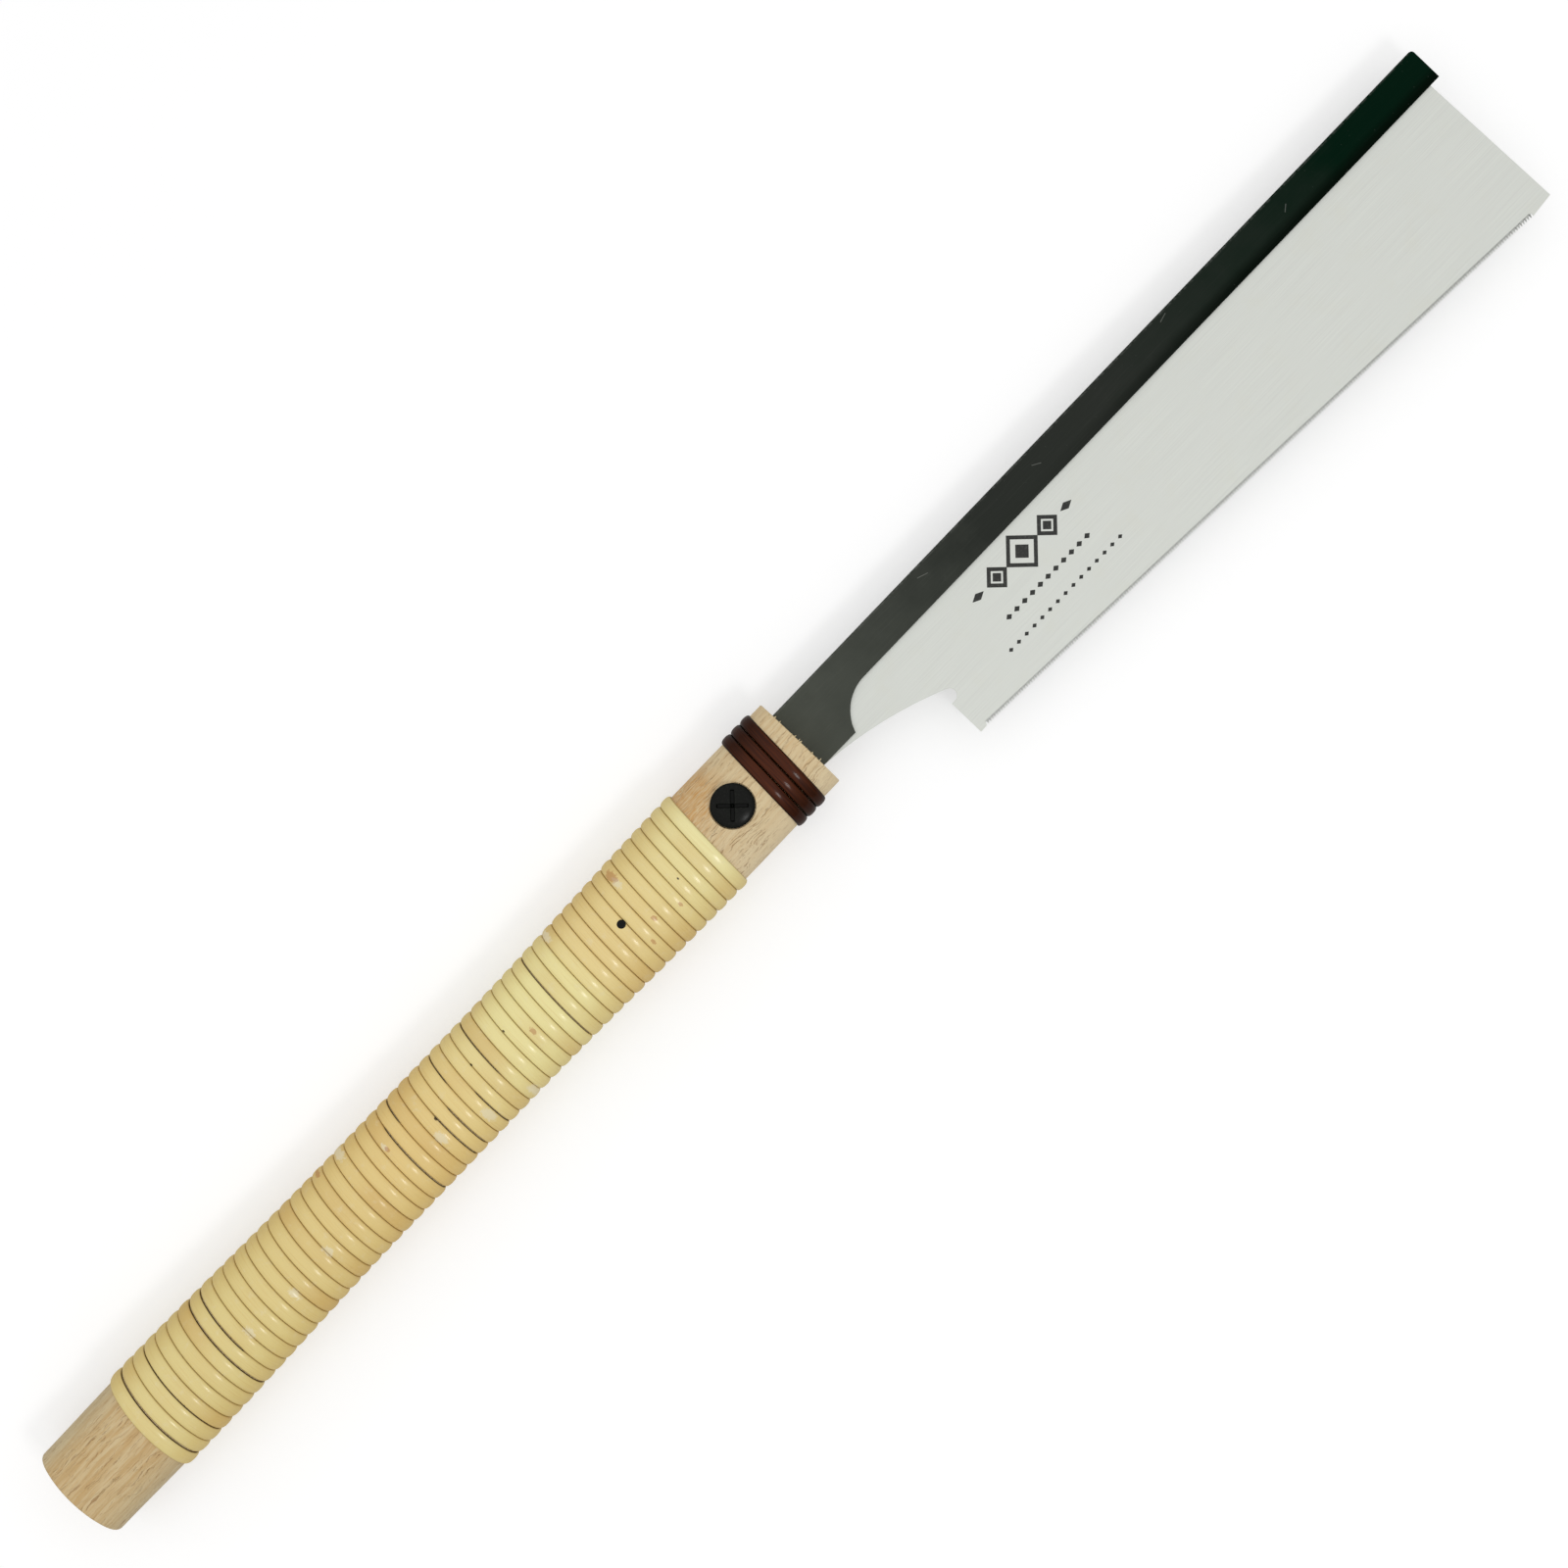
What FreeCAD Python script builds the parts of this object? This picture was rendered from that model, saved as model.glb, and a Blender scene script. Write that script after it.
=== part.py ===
"""Backed pull saw: a thin toothed plate in a folded steel back, on a rattan-bound oval handle.

Lengths are millimetres. The model is drawn in the handle's frame: X runs forward along the
handle's axis from the wood's mouth, +Y is the side of the steel back, -Y the side of the
teeth, and +Z the side of the clamp screw's head. Each finished piece is then placed so that
the origin lies under the middle of the whole saw, on the surface that it rests on.
"""
import FreeCAD, Part
import Sketcher
import math
import os

from FreeCAD import Placement, Rotation, Vector

# Driving dimensions: alias, value, what it is.
SIZES = [
    ("handle_long", 332.5, "wood, mouth to butt"),
    ("mouth_wide", 35.1, "width of the oval at the mouth"),
    ("neck_wide", 35.4, "width under the front of the rattan"),
    ("waist_wide", 32.0, "width at the waist"),
    ("swell_wide", 35.1, "width at the rear swell"),
    ("butt_wide", 34.4, "width at the butt"),
    ("neck_back", 42.0, "mouth to neck"),
    ("waist_front", 140.0, "mouth to where the waist begins"),
    ("waist_back", 200.0, "mouth to where the waist ends"),
    ("swell_back", 297.0, "mouth to the rear swell"),
    ("oval_flatness", 0.73, "thickness of the oval over its width"),
    ("oval_end_ratio", 0.58, "radius of the oval's ends over its half width"),
    ("edge_round", 0.8, "chamfer of the butt's edge"),
    ("wood_bays", 8, "lengths of wood lofted under the rattan"),
    ("wood_chords", 48, "chords round the wood and round a winding's inside"),
    ("kerf_deep", 86.0, "slit for the tang, from the mouth"),
    ("kerf_play", 0.1, "gap on each side of the tang in the slit"),
    ("rattan_front", 42.3, "mouth to the front of the rattan"),
    ("rattan_turns", 53, "turns of rattan"),
    ("turn_rear", 5.18, "width of the rearmost turn"),
    ("turn_front", 4.58, "width of the foremost turn"),
    ("rattan_groove", 0.75, "rattan over the wood, between two turns"),
    ("rattan_crest", 1.25, "rattan over the wood, at a turn's crest"),
    ("winding_chords", 30, "chords round a winding's ridge"),
    ("winding_gap", 0.05, "winding over the wood, inside"),
    ("binding_front", 6.0, "mouth to the front of the dark binding"),
    ("binding_turns", 3, "turns of the dark binding"),
    ("binding_turn", 4.2, "width of a turn of the binding"),
    ("binding_groove", 0.45, "binding over the wood, between two turns"),
    ("binding_crest", 1.1, "binding over the wood, at a crest"),
    ("spine_tall", 12.4, "height of the folded back"),
    ("spine_thick", 2.1, "thickness of the folded back"),
    ("spine_end", 295.5, "mouth to the front of the back"),
    ("spine_corner", 1.2, "rounded top corner at the front"),
    ("fold_round", 0.9, "rounding of the fold"),
    ("cheek_drop", 10.5, "cheeks below the handle's axis"),
    ("cheek_long", 14.7, "mouth to the corner of the cheeks"),
    ("sweep_end", 29.6, "mouth to where the cheek's sweep meets the back"),
    ("sweep_round", 15.7, "radius of the cheek's sweep"),
    ("tang_long", 68.0, "tang inside the handle"),
    ("tang_corner", 3.0, "cut corners of the tang"),
    ("slot_half", 2.75, "half width of the tang's open slot, round the screw"),
    ("slot_bend", 2.9, "radius of the slot's closed end"),
    ("slot_seat", 0.8, "slot's sides run on past the screw's middle"),
    ("slot_through", 6.0, "reach of a cut right through a piece"),
    ("plate_thick", 0.3, "thickness of the toothed plate"),
    ("plate_top", 11.0, "top edge of the plate inside the fold"),
    ("plate_short", 1.0, "plate shorter than the tang"),
    ("belly_round", 144.0, "radius of the plate's belly"),
    ("notch_x", 44.1, "mouth to the middle of the heel notch"),
    ("notch_y", 24.1, "heel notch below the axis"),
    ("notch_round", 2.3, "radius of the heel notch"),
    ("notch_lip", 0.8, "belly's end ahead of the notch's middle"),
    ("notch_rise", 2.16, "belly's end above the notch's middle"),
    ("heel_x", 42.7, "mouth to the heel's edge"),
    ("heel_y", 39.4, "bottom of the heel below the axis"),
    ("nib_long", 2.7, "plain nib behind the first tooth"),
    ("toe_x", 284.6, "mouth to the end of the teeth"),
    ("toe_y", 52.75, "end of the teeth below the axis"),
    ("tip_x", 293.1, "mouth to the tip corner"),
    ("tip_y", 51.9, "tip corner below the axis"),
    ("tip_top", 291.5, "mouth to the plate's front under the back"),
    ("tooth_pitch", 1.0, "distance from tooth to tooth"),
    ("tooth_count", 239, "number of gullets"),
    ("gullet_deep", 1.5, "depth of a gullet"),
    ("gullet_root", 0.7, "gullet's root ahead of the tooth behind it"),
    ("cut_over", 0.5, "reach of a cut past a surface"),
    ("screw_x", 29.3, "mouth to the clamp screw"),
    ("screw_y", 1.6, "screw above the axis"),
    ("seat_level", 11.7, "seat of the screw's head"),
    ("head_half", 7.2, "radius of the head"),
    ("head_rim", 1.1, "height of the head's straight rim"),
    ("head_tall", 2.7, "height of the head"),
    ("head_brow", 5.2, "radius where the head's crown begins"),
    ("head_slope", 2.2, "height where the head's crown begins"),
    ("recess_long", 11.0, "length of each slot of the cross recess"),
    ("recess_wide", 1.1, "width of the cross recess"),
    ("recess_deep", 1.3, "depth of the cross recess below the crown"),
    ("shank_half", 2.5, "radius of the shank"),
    ("shank_long", 22.5, "length of the shank"),
    ("shank_tip", 0.5, "chamfer at the shank's tip"),
    ("run_gap", 0.06, "radial gap round the shank in washer and nut"),
    ("hole_gap", 0.35, "radial gap round the shank in the wood"),
    ("washer_half", 6.0, "radius of the washer"),
    ("washer_thick", 1.0, "thickness of the washer"),
    ("pocket_gap", 0.35, "radial gap round head and washer in the wood"),
    ("nut_half", 7.2, "radius of the nut's flange"),
    ("nut_flange", 2.45, "thickness of the nut's flange"),
    ("nut_rim", 0.5, "chamfer of the flange's edge"),
    ("barrel_half", 3.7, "radius of the nut's sleeve"),
    ("nut_sleeve", 7.8, "length of the sleeve inside the wood"),
    ("nut_web", 1.7, "closed end of the nut"),
    ("fit_gap", 0.05, "radial gap of fixed metal in the wood"),
    ("pin_x", 80.5, "mouth to the pin at the slit's end"),
    ("pin_y", 1.0, "pin above the axis"),
    ("pin_half", 1.45, "radius of the pin"),
    ("pin_half_long", 13.5, "half length of the pin's straight part"),
    ("pin_crown", 0.3, "chamfer of the pin's ends"),
]

doc = FreeCAD.newDocument("PullSaw")


# ---------------------------------------------------------------- the sheet and small helpers

def fill_sheet():
    """Put every driving dimension in one spreadsheet, with its name and its meaning."""
    sheet = doc.addObject("Spreadsheet::Sheet", "size")
    for row, (alias, number, meaning) in enumerate(SIZES, start=1):
        sheet.set(f"A{row}", alias)
        sheet.set(f"B{row}", str(number))
        sheet.setAlias(f"B{row}", alias)
        sheet.set(f"C{row}", meaning)
    doc.recompute()
    return sheet


sheet = fill_sheet()


def size(alias):
    """A driving dimension, read from the sheet."""
    return float(sheet.get(alias))


def amount(terms):
    """The value of a sum of aliases, such as "screw_y - slot_wide"."""
    total = 0.0
    sign = 1.0
    for word in terms.split():
        if word in "+-":
            sign = 1.0 if word == "+" else -1.0
        else:
            number = 0.0 if word == "0" else size(word)
            total += sign * number
            sign = 1.0
    return total


def bound(terms):
    """The same sum as a document expression."""
    words = [word if word in "+-0" else f"size.{word}" for word in terms.split()]
    return " ".join(words)


def bind(thing, **bindings):
    """Bind properties of an object to expressions on the sheet."""
    for name, expression in bindings.items():
        thing.setExpression(name.replace("__", "."), expression)
    return thing


def new_body(name):
    return doc.addObject("PartDesign::Body", name)


def sketch_on(body, name, role="XY_Plane"):
    """An empty sketch on one of the body's own origin planes."""
    plane = next(item for item in body.Origin.OriginFeatures if item.Role == role)
    sketch = body.newObject("Sketcher::SketchObject", name)
    sketch.AttachmentSupport = [(plane, "")]
    sketch.MapMode = "FlatFace"
    return sketch


def arc_between(start, end, radius, clockwise):
    """The short arc from start to end, drawn counter-clockwise as a sketch needs it."""
    if clockwise:
        start, end = end, start
    chord = end - start
    reach = math.sqrt(max(radius * radius - chord.Length ** 2 / 4, 0.0))
    left = Vector(-chord.y, chord.x, 0).normalize()
    centre = (start + end) * 0.5 + left * reach
    first = math.atan2(start.y - centre.y, start.x - centre.x)
    last = math.atan2(end.y - centre.y, end.x - centre.x)
    if last <= first:
        last += 2 * math.pi
    return Part.ArcOfCircle(Part.Circle(centre, Vector(0, 0, 1), radius), first, last)


def draw_outline(sketch, corners, arcs=None):
    """A closed outline whose corners and radii are all bound to the sheet.

    A corner is a pair of sums of aliases. arcs gives, for the stretch that follows a corner,
    its radius and whether it turns clockwise; every other stretch is straight.
    """
    arcs = arcs or {}
    places = [Vector(amount(across), amount(up), 0) for across, up in corners]
    count = len(corners)
    ends = []
    for index, place in enumerate(places):
        target = places[(index + 1) % count]
        if index in arcs:
            radius, clockwise = arcs[index]
            edge = sketch.addGeometry(arc_between(place, target, amount(radius), clockwise))
            ends.append((edge, 2, 1) if clockwise else (edge, 1, 2))
            label = f"radius_{index}"
            datum = sketch.addConstraint(Sketcher.Constraint("Radius", edge, amount(radius)))
            sketch.renameConstraint(datum, label)
            sketch.setExpression(f"Constraints.{label}", bound(radius))
        else:
            edge = sketch.addGeometry(Part.LineSegment(place, target))
            ends.append((edge, 1, 2))
    for index in range(count):
        edge, _, tail = ends[index]
        following, head, _ = ends[(index + 1) % count]
        sketch.addConstraint(Sketcher.Constraint("Coincident", edge, tail, following, head))
    for index, (across, up) in enumerate(corners):
        edge, head, _ = ends[index]
        for kind, terms in (("DistanceX", across), ("DistanceY", up)):
            label = f"{kind}_{index}"
            rule = Sketcher.Constraint(kind, -1, 1, edge, head, amount(terms))
            datum = sketch.addConstraint(rule)
            sketch.renameConstraint(datum, label)
            sketch.setExpression(f"Constraints.{label}", bound(terms))
    return sketch



def midplane_pad(body, sketch, thick, name):
    """A pad to both sides of the sketch's plane, its thickness bound to the sheet."""
    pad = body.newObject("PartDesign::Pad", name)
    pad.Profile = sketch
    pad.Midplane = True
    pad.Length = size(thick)
    return bind(pad, Length=f"size.{thick}")


def midplane_pocket(body, sketch, thick, name):
    """A cut to both sides of the sketch's plane, its width bound to the sheet."""
    pocket = body.newObject("PartDesign::Pocket", name)
    pocket.Profile = sketch
    pocket.Midplane = True
    pocket.Length = size(thick)
    return bind(pocket, Length=f"size.{thick}")


def turned(body, corners, arcs=None):
    """A solid of revolution about Z, from an outline of radius against height."""
    sketch = draw_outline(sketch_on(body, body.Name + "_profile", "XZ_Plane"), corners, arcs)
    revolution = body.newObject("PartDesign::Revolution", body.Name + "_turned")
    revolution.Profile = sketch
    revolution.ReferenceAxis = (sketch, ["V_Axis"])
    revolution.Angle = 360
    return revolution


def edges_where(shape, test):
    """The names of the edges whose middle passes the test."""
    names = []
    for number, edge in enumerate(shape.Edges, start=1):
        middle = edge.valueAt((edge.FirstParameter + edge.LastParameter) / 2)
        if test(edge, middle):
            names.append(f"Edge{number}")
    return names


def cylinder(name, radius, low, high, across="0 mm", up="0 mm"):
    """An upright cylinder between two levels; every argument is an expression."""
    rod = doc.addObject("Part::Cylinder", name)
    bind(rod, Radius=radius, Height=f"({high}) - ({low})")
    bind(rod, Placement__Base__x=across, Placement__Base__y=up, Placement__Base__z=low)
    return rod


# ---------------------------------------------------------------- the handle's oval form

def half_width(back):
    """Half width of the wood at a distance behind the mouth, on a smooth line."""
    stations = [
        (0.0, size("mouth_wide")),
        (size("neck_back"), size("neck_wide")),
        (size("waist_front"), size("waist_wide")),
        (size("waist_back"), size("waist_wide")),
        (size("swell_back"), size("swell_wide")),
        (size("handle_long"), size("butt_wide")),
    ]
    for (near, near_wide), (far, far_wide) in zip(stations, stations[1:]):
        if back <= far:
            share = max(back - near, 0.0) / (far - near)
            ease = share * share * (3 - 2 * share)
            return (near_wide + (far_wide - near_wide) * ease) / 2
    return size("butt_wide") / 2


def oval(back, stand, slant=0.0):
    """A four-arc oval round the handle, standing off the wood, with its +Y side forward."""
    wide = half_width(back) + stand
    thick = half_width(back) * size("oval_flatness") + stand
    end = size("oval_end_ratio") * half_width(back) + stand
    flat = ((wide - end) ** 2 + thick * thick - end * end) / (2 * (thick - end))
    depth = flat - thick
    span = math.hypot(wide - end, depth)
    join_y = (wide - end) / span * flat
    join_z = depth / span * flat - depth

    def at(y, z):
        return Vector(slant * y - back, y, z)

    stops = [
        (at(-join_y, join_z), at(0, thick), at(join_y, join_z)),
        (at(join_y, join_z), at(wide, 0), at(join_y, -join_z)),
        (at(join_y, -join_z), at(0, -thick), at(-join_y, -join_z)),
        (at(-join_y, -join_z), at(-wide, 0), at(-join_y, join_z)),
    ]
    return Part.Wire([Part.Arc(*three).toShape() for three in stops])


def chorded(wire, chords):
    """The wire redrawn as even chords, as short as the eye needs to read them as round."""
    points = wire.discretize(chords + 1)
    return Part.makePolygon(points)


def stations_under(front, rear, bays):
    """Even distances behind the mouth at which the form is drawn under a winding."""
    return [front + (rear - front) * bay / bays for bay in range(bays + 1)]


def wound(stations, turns, rear_turn, front_turn, profile):
    """A winding round the handle: each turn is a rounded ridge, slanted as a helix is.

    stations run from its front to its rear. profile lists, from one groove to just before
    the next, how far along the turn each section lies and how far it stands off the wood.
    """
    slant = (rear_turn + front_turn) / 2 / (2 * size("neck_wide"))
    chords = int(size("winding_chords"))
    rear = stations[-1]
    back = rear
    sections = []
    for turn in range(turns):
        along = turn / max(turns - 1, 1)
        wide = rear_turn + (front_turn - rear_turn) * along
        for share, stand in profile:
            sections.append(chorded(oval(back - share * wide, stand, slant), chords))
        back -= wide
    sections.append(chorded(oval(back, profile[0][1], slant), chords))
    bore = []
    for station in reversed(stations):
        lean = slant if station in (stations[0], rear) else 0.0
        section = oval(station, size("winding_gap"), lean)
        bore.append(chorded(section, int(size("wood_chords"))))
    ends = [Part.Face([outer, inner], "Part::FaceMakerBullseye")
            for outer, inner in ((sections[0], bore[0]), (sections[-1], bore[-1]))]
    outside = Part.makeLoft(sections, False, True)
    inside = Part.makeLoft(bore, False, True)
    shell = Part.makeShell(outside.Faces + inside.Faces + ends)
    shell.sewShape()
    return Part.makeSolid(shell)


# ---------------------------------------------------------------- wooden handle and windings

def rattan_stations():
    """Where the form is drawn under the rattan; the wood and the rattan's inside share them."""
    front = size("rattan_front")
    turn = (size("turn_rear") + size("turn_front")) / 2
    return stations_under(front, front + size("rattan_turns") * turn, int(size("wood_bays")))


def make_blank():
    """The wood before it is slit and bored: ovals lofted from the chamfered butt to the mouth."""
    length = size("handle_long")
    bevel = size("edge_round")
    sections = [oval(length, -bevel), oval(length - bevel, 0.0)]
    sections += [oval(back, 0.0) for back in reversed(rattan_stations())]
    sections.append(oval(0.0, 0.0))
    chords = int(size("wood_chords"))
    blank = doc.addObject("Part::Feature", "wood_blank")
    blank.Shape = Part.makeLoft([chorded(section, chords) for section in sections], True, True)
    return blank


def make_handle(blank):
    """The oak handle: slit for the tang, bored and counterbored for screw, nut and pin."""
    slit = doc.addObject("Part::Box", "slit")
    bind(slit, Length="size.kerf_deep + size.cut_over", Width="2 * size.neck_wide")
    bind(slit, Height="size.spine_thick + 2 * size.kerf_play")
    bind(slit, Placement__Base__x="-size.kerf_deep", Placement__Base__y="-size.neck_wide")
    bind(slit, Placement__Base__z="-size.spine_thick / 2 - size.kerf_play")
    at_screw = {"across": "-size.screw_x", "up": "size.screw_y"}
    at_pin = {"across": "-size.pin_x", "up": "size.pin_y"}
    through = "size.neck_wide"
    washer_floor = "size.seat_level - size.washer_thick"
    cuts = [
        slit,
        cylinder("screw_hole", "size.shank_half + size.hole_gap", "-" + through, through,
                 **at_screw),
        cylinder("head_seat", "size.head_half + size.pocket_gap", "size.seat_level",
                 through, **at_screw),
        cylinder("washer_seat", "size.washer_half + size.pocket_gap", washer_floor,
                 through, **at_screw),
        cylinder("sleeve_hole", "size.barrel_half + size.fit_gap",
                 "-size.seat_level", "size.nut_sleeve - size.seat_level", **at_screw),
        cylinder("flange_seat", "size.nut_half + size.pocket_gap", "-" + through,
                 "-size.seat_level", **at_screw),
        cylinder("pin_hole", "size.pin_half + size.fit_gap", "-" + through, through,
                 **at_pin),
    ]
    tools = doc.addObject("Part::MultiFuse", "handle_cuts")
    tools.Shapes = cuts
    carved = doc.addObject("Part::Cut", "handle_wood")
    carved.Base = blank
    carved.Tool = tools
    return carved


def make_rattan():
    """The grip: one long strip of split cane, wound edge to edge."""
    profile = [(0.0, size("rattan_groove")), (0.5, size("rattan_crest"))]
    winding = wound(rattan_stations(), int(size("rattan_turns")),
                    size("turn_rear"), size("turn_front"), profile)
    foot = Vector(-size("pin_x"), size("pin_y"), -size("neck_wide"))
    pin_way = Part.makeCylinder(size("pin_half") + size("fit_gap"), 2 * size("neck_wide"), foot)
    grip = doc.addObject("Part::Feature", "rattan_grip")
    grip.Shape = winding.cut(pin_way)
    return grip


def make_binding():
    """The dark binding that keeps the slit mouth from spreading."""
    groove = size("binding_groove")
    crest = size("binding_crest")
    profile = [(0.0, groove), (0.3, crest), (0.7, crest)]
    turn = size("binding_turn")
    binding = doc.addObject("Part::Feature", "front_binding")
    front = size("binding_front")
    turns = int(size("binding_turns"))
    stations = stations_under(front, front + turns * turn, 1)
    binding.Shape = wound(stations, turns, turn, turn, profile)
    return binding


# ---------------------------------------------------------------- steel back and toothed plate

def cut_slot(body):
    """The tang's open slot, which slides over the screw from behind."""
    corners = [
        ("0 - tang_long - tang_corner", "screw_y - slot_half"),
        ("0 - screw_x + slot_seat", "screw_y - slot_half"),
        ("0 - screw_x + slot_seat", "screw_y + slot_half"),
        ("0 - tang_long - tang_corner", "screw_y + slot_half"),
    ]
    sketch = draw_outline(sketch_on(body, body.Name + "_slot"), corners,
                          {1: ("slot_bend", False)})
    return midplane_pocket(body, sketch, "slot_through", body.Name + "_slot_cut")


def make_spine():
    """The folded back: two flanks and a rounded fold, with cheeks and a forked tang."""
    body = new_body("blade_spine")
    corners = [
        ("0 - tang_long", "spine_tall - tang_corner"),
        ("0 - tang_long", "0 - cheek_drop + tang_corner"),
        ("0 - tang_long + tang_corner", "0 - cheek_drop"),
        ("cheek_long", "0 - cheek_drop"),
        ("sweep_end", "0"),
        ("spine_end", "0"),
        ("spine_end", "spine_tall - spine_corner"),
        ("spine_end - spine_corner", "spine_tall"),
        ("0 - tang_long + tang_corner", "spine_tall"),
    ]
    side = draw_outline(sketch_on(body, "spine_side"), corners,
                        {3: ("sweep_round", True), 6: ("spine_corner", False)})
    midplane_pad(body, side, "spine_thick", "spine_plate")
    gap = [
        ("0 - tang_long - tang_corner", "0 - cheek_drop - tang_corner"),
        ("spine_end + tang_corner", "0 - cheek_drop - tang_corner"),
        ("spine_end + tang_corner", "plate_top"),
        ("0 - tang_long - tang_corner", "plate_top"),
    ]
    throat = draw_outline(sketch_on(body, "spine_gap"), gap)
    midplane_pocket(body, throat, "plate_thick", "spine_throat")
    cut_slot(body)
    doc.recompute()
    tall = size("spine_tall")
    half = size("spine_thick") / 2
    flanks = body.Tip
    fold = edges_where(flanks.Shape, lambda edge, middle: abs(middle.y - tall) < 0.01
                       and abs(abs(middle.z) - half) < 0.01 and edge.Length > tall)
    fillet = body.newObject("PartDesign::Fillet", "spine_fold")
    fillet.Base = (flanks, fold)
    fillet.Radius = size("fold_round")
    bind(fillet, Radius="size.fold_round")
    return body


def make_plate():
    """The blade: a thin plate with a swept belly, a heel notch and fine, tall teeth."""
    body = new_body("saw_blade")
    corners = [
        ("0 - tang_long + plate_short", "plate_top - tang_corner"),
        ("0 - tang_long + plate_short", "0 - cheek_drop + tang_corner"),
        ("0 - tang_long + tang_corner", "0 - cheek_drop"),
        ("0", "0 - cheek_drop"),
        ("notch_x + notch_lip", "0 - notch_y + notch_rise"),
        ("notch_x", "0 - notch_y - notch_round"),
        ("heel_x", "0 - notch_y - notch_round"),
        ("heel_x", "0 - heel_y"),
        ("heel_x + nib_long", "0 - heel_y"),
        ("toe_x", "0 - toe_y"),
        ("tip_x", "0 - tip_y"),
        ("tip_top", "plate_top"),
        ("0 - tang_long + tang_corner", "plate_top"),
    ]
    side = draw_outline(sketch_on(body, "plate_side"), corners,
                        {3: ("belly_round", True), 4: ("notch_round", True)})
    midplane_pad(body, side, "plate_thick", "plate_blank")
    cut_slot(body)
    cut_teeth(body)
    return body


def cut_teeth(body):
    """A row of tall gullets along the sloping edge, raked so that the teeth cut on the pull."""
    corners = [
        ("0", "0 - cut_over"),
        ("tooth_pitch", "0 - cut_over"),
        ("tooth_pitch", "0"),
        ("gullet_root", "gullet_deep"),
        ("0", "0"),
    ]
    sketch = sketch_on(body, "gullet")
    draw_outline(sketch, corners)
    slope = "-atan((size.toe_y - size.heel_y) / (size.toe_x - size.heel_x - size.nib_long))"
    bind(sketch, AttachmentOffset__Base__x="size.heel_x + size.nib_long")
    bind(sketch, AttachmentOffset__Base__y="-size.heel_y")
    bind(sketch, AttachmentOffset__Rotation__Angle=slope)
    gullet = midplane_pocket(body, sketch, "slot_through", "gullet_cut")
    doc.recompute()
    row = body.newObject("PartDesign::LinearPattern", "tooth_row")
    row.Originals = [gullet]
    row.Direction = (sketch, ["H_Axis"])
    bind(row, Length="size.tooth_pitch * (size.tooth_count - 1)", Occurrences="size.tooth_count")
    body.Tip = row
    return row


# ---------------------------------------------------------------- clamp screw, nut and pin

def make_screw():
    """The clamp screw: a low domed head with a cross recess, on a plain shank."""
    body = new_body("clamp_screw")
    corners = [
        ("0", "0 - shank_long"),
        ("shank_half - shank_tip", "0 - shank_long"),
        ("shank_half", "0 - shank_long + shank_tip"),
        ("shank_half", "0"),
        ("head_half", "0"),
        ("head_half", "head_rim"),
        ("head_brow", "head_slope"),
        ("0", "head_tall"),
    ]
    turned(body, corners)
    sketch = sketch_on(body, "cross_recess")
    half_long = size("recess_long") / 2
    half_wide = size("recess_wide") / 2
    draw_cross(sketch, half_long, half_wide)
    bind(sketch, AttachmentOffset__Base__z="size.head_tall")
    recess = body.newObject("PartDesign::Pocket", "cross_cut")
    recess.Profile = sketch
    recess.Length = size("recess_deep")
    bind(recess, Length="size.recess_deep")
    return body


def draw_cross(sketch, half_long, half_wide):
    """A plus-shaped outline turned by 45 degrees, centred on the sketch."""
    arm = [Vector(half_wide, half_long, 0), Vector(-half_wide, half_long, 0),
           Vector(-half_wide, half_wide, 0)]
    places = []
    for quarter in range(4):
        turn = Rotation(Vector(0, 0, 1), 45 + 90 * quarter)
        places += [turn.multVec(place) for place in arm]
    for index, place in enumerate(places):
        target = places[(index + 1) % len(places)]
        sketch.addGeometry(Part.LineSegment(place, target))
    for index in range(len(places)):
        following = (index + 1) % len(places)
        sketch.addConstraint(Sketcher.Constraint("Coincident", index, 2, following, 1))
        sketch.addConstraint(Sketcher.Constraint("Block", index))


def make_washer():
    """The washer under the head, which travels with the screw."""
    body = new_body("screw_washer")
    turned(body, [
        ("shank_half + run_gap", "0 - washer_thick"),
        ("washer_half", "0 - washer_thick"),
        ("washer_half", "0"),
        ("shank_half + run_gap", "0"),
    ])
    return body


def make_nut():
    """The sleeve nut, let into the far side of the wood, with a flat closed flange."""
    body = new_body("clamp_nut")
    turned(body, [
        ("0", "0 - nut_flange"),
        ("nut_half - nut_rim", "0 - nut_flange"),
        ("nut_half", "0 - nut_flange + nut_rim"),
        ("nut_half", "0"),
        ("barrel_half", "0"),
        ("barrel_half", "nut_sleeve"),
        ("shank_half + run_gap", "nut_sleeve"),
        ("shank_half + run_gap", "0 - nut_flange + nut_web"),
        ("0", "0 - nut_flange + nut_web"),
    ])
    return body


def make_pin():
    """The pin across the end of the slit, flush with the rattan's crests on both sides."""
    body = new_body("slit_pin")
    turned(body, [
        ("0", "0 - pin_half_long - pin_crown"),
        ("pin_half - pin_crown", "0 - pin_half_long - pin_crown"),
        ("pin_half", "0 - pin_half_long"),
        ("pin_half", "pin_half_long"),
        ("pin_half - pin_crown", "pin_half_long + pin_crown"),
        ("0", "pin_half_long + pin_crown"),
    ])
    return body


# ---------------------------------------------------------------- the whole saw

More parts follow.
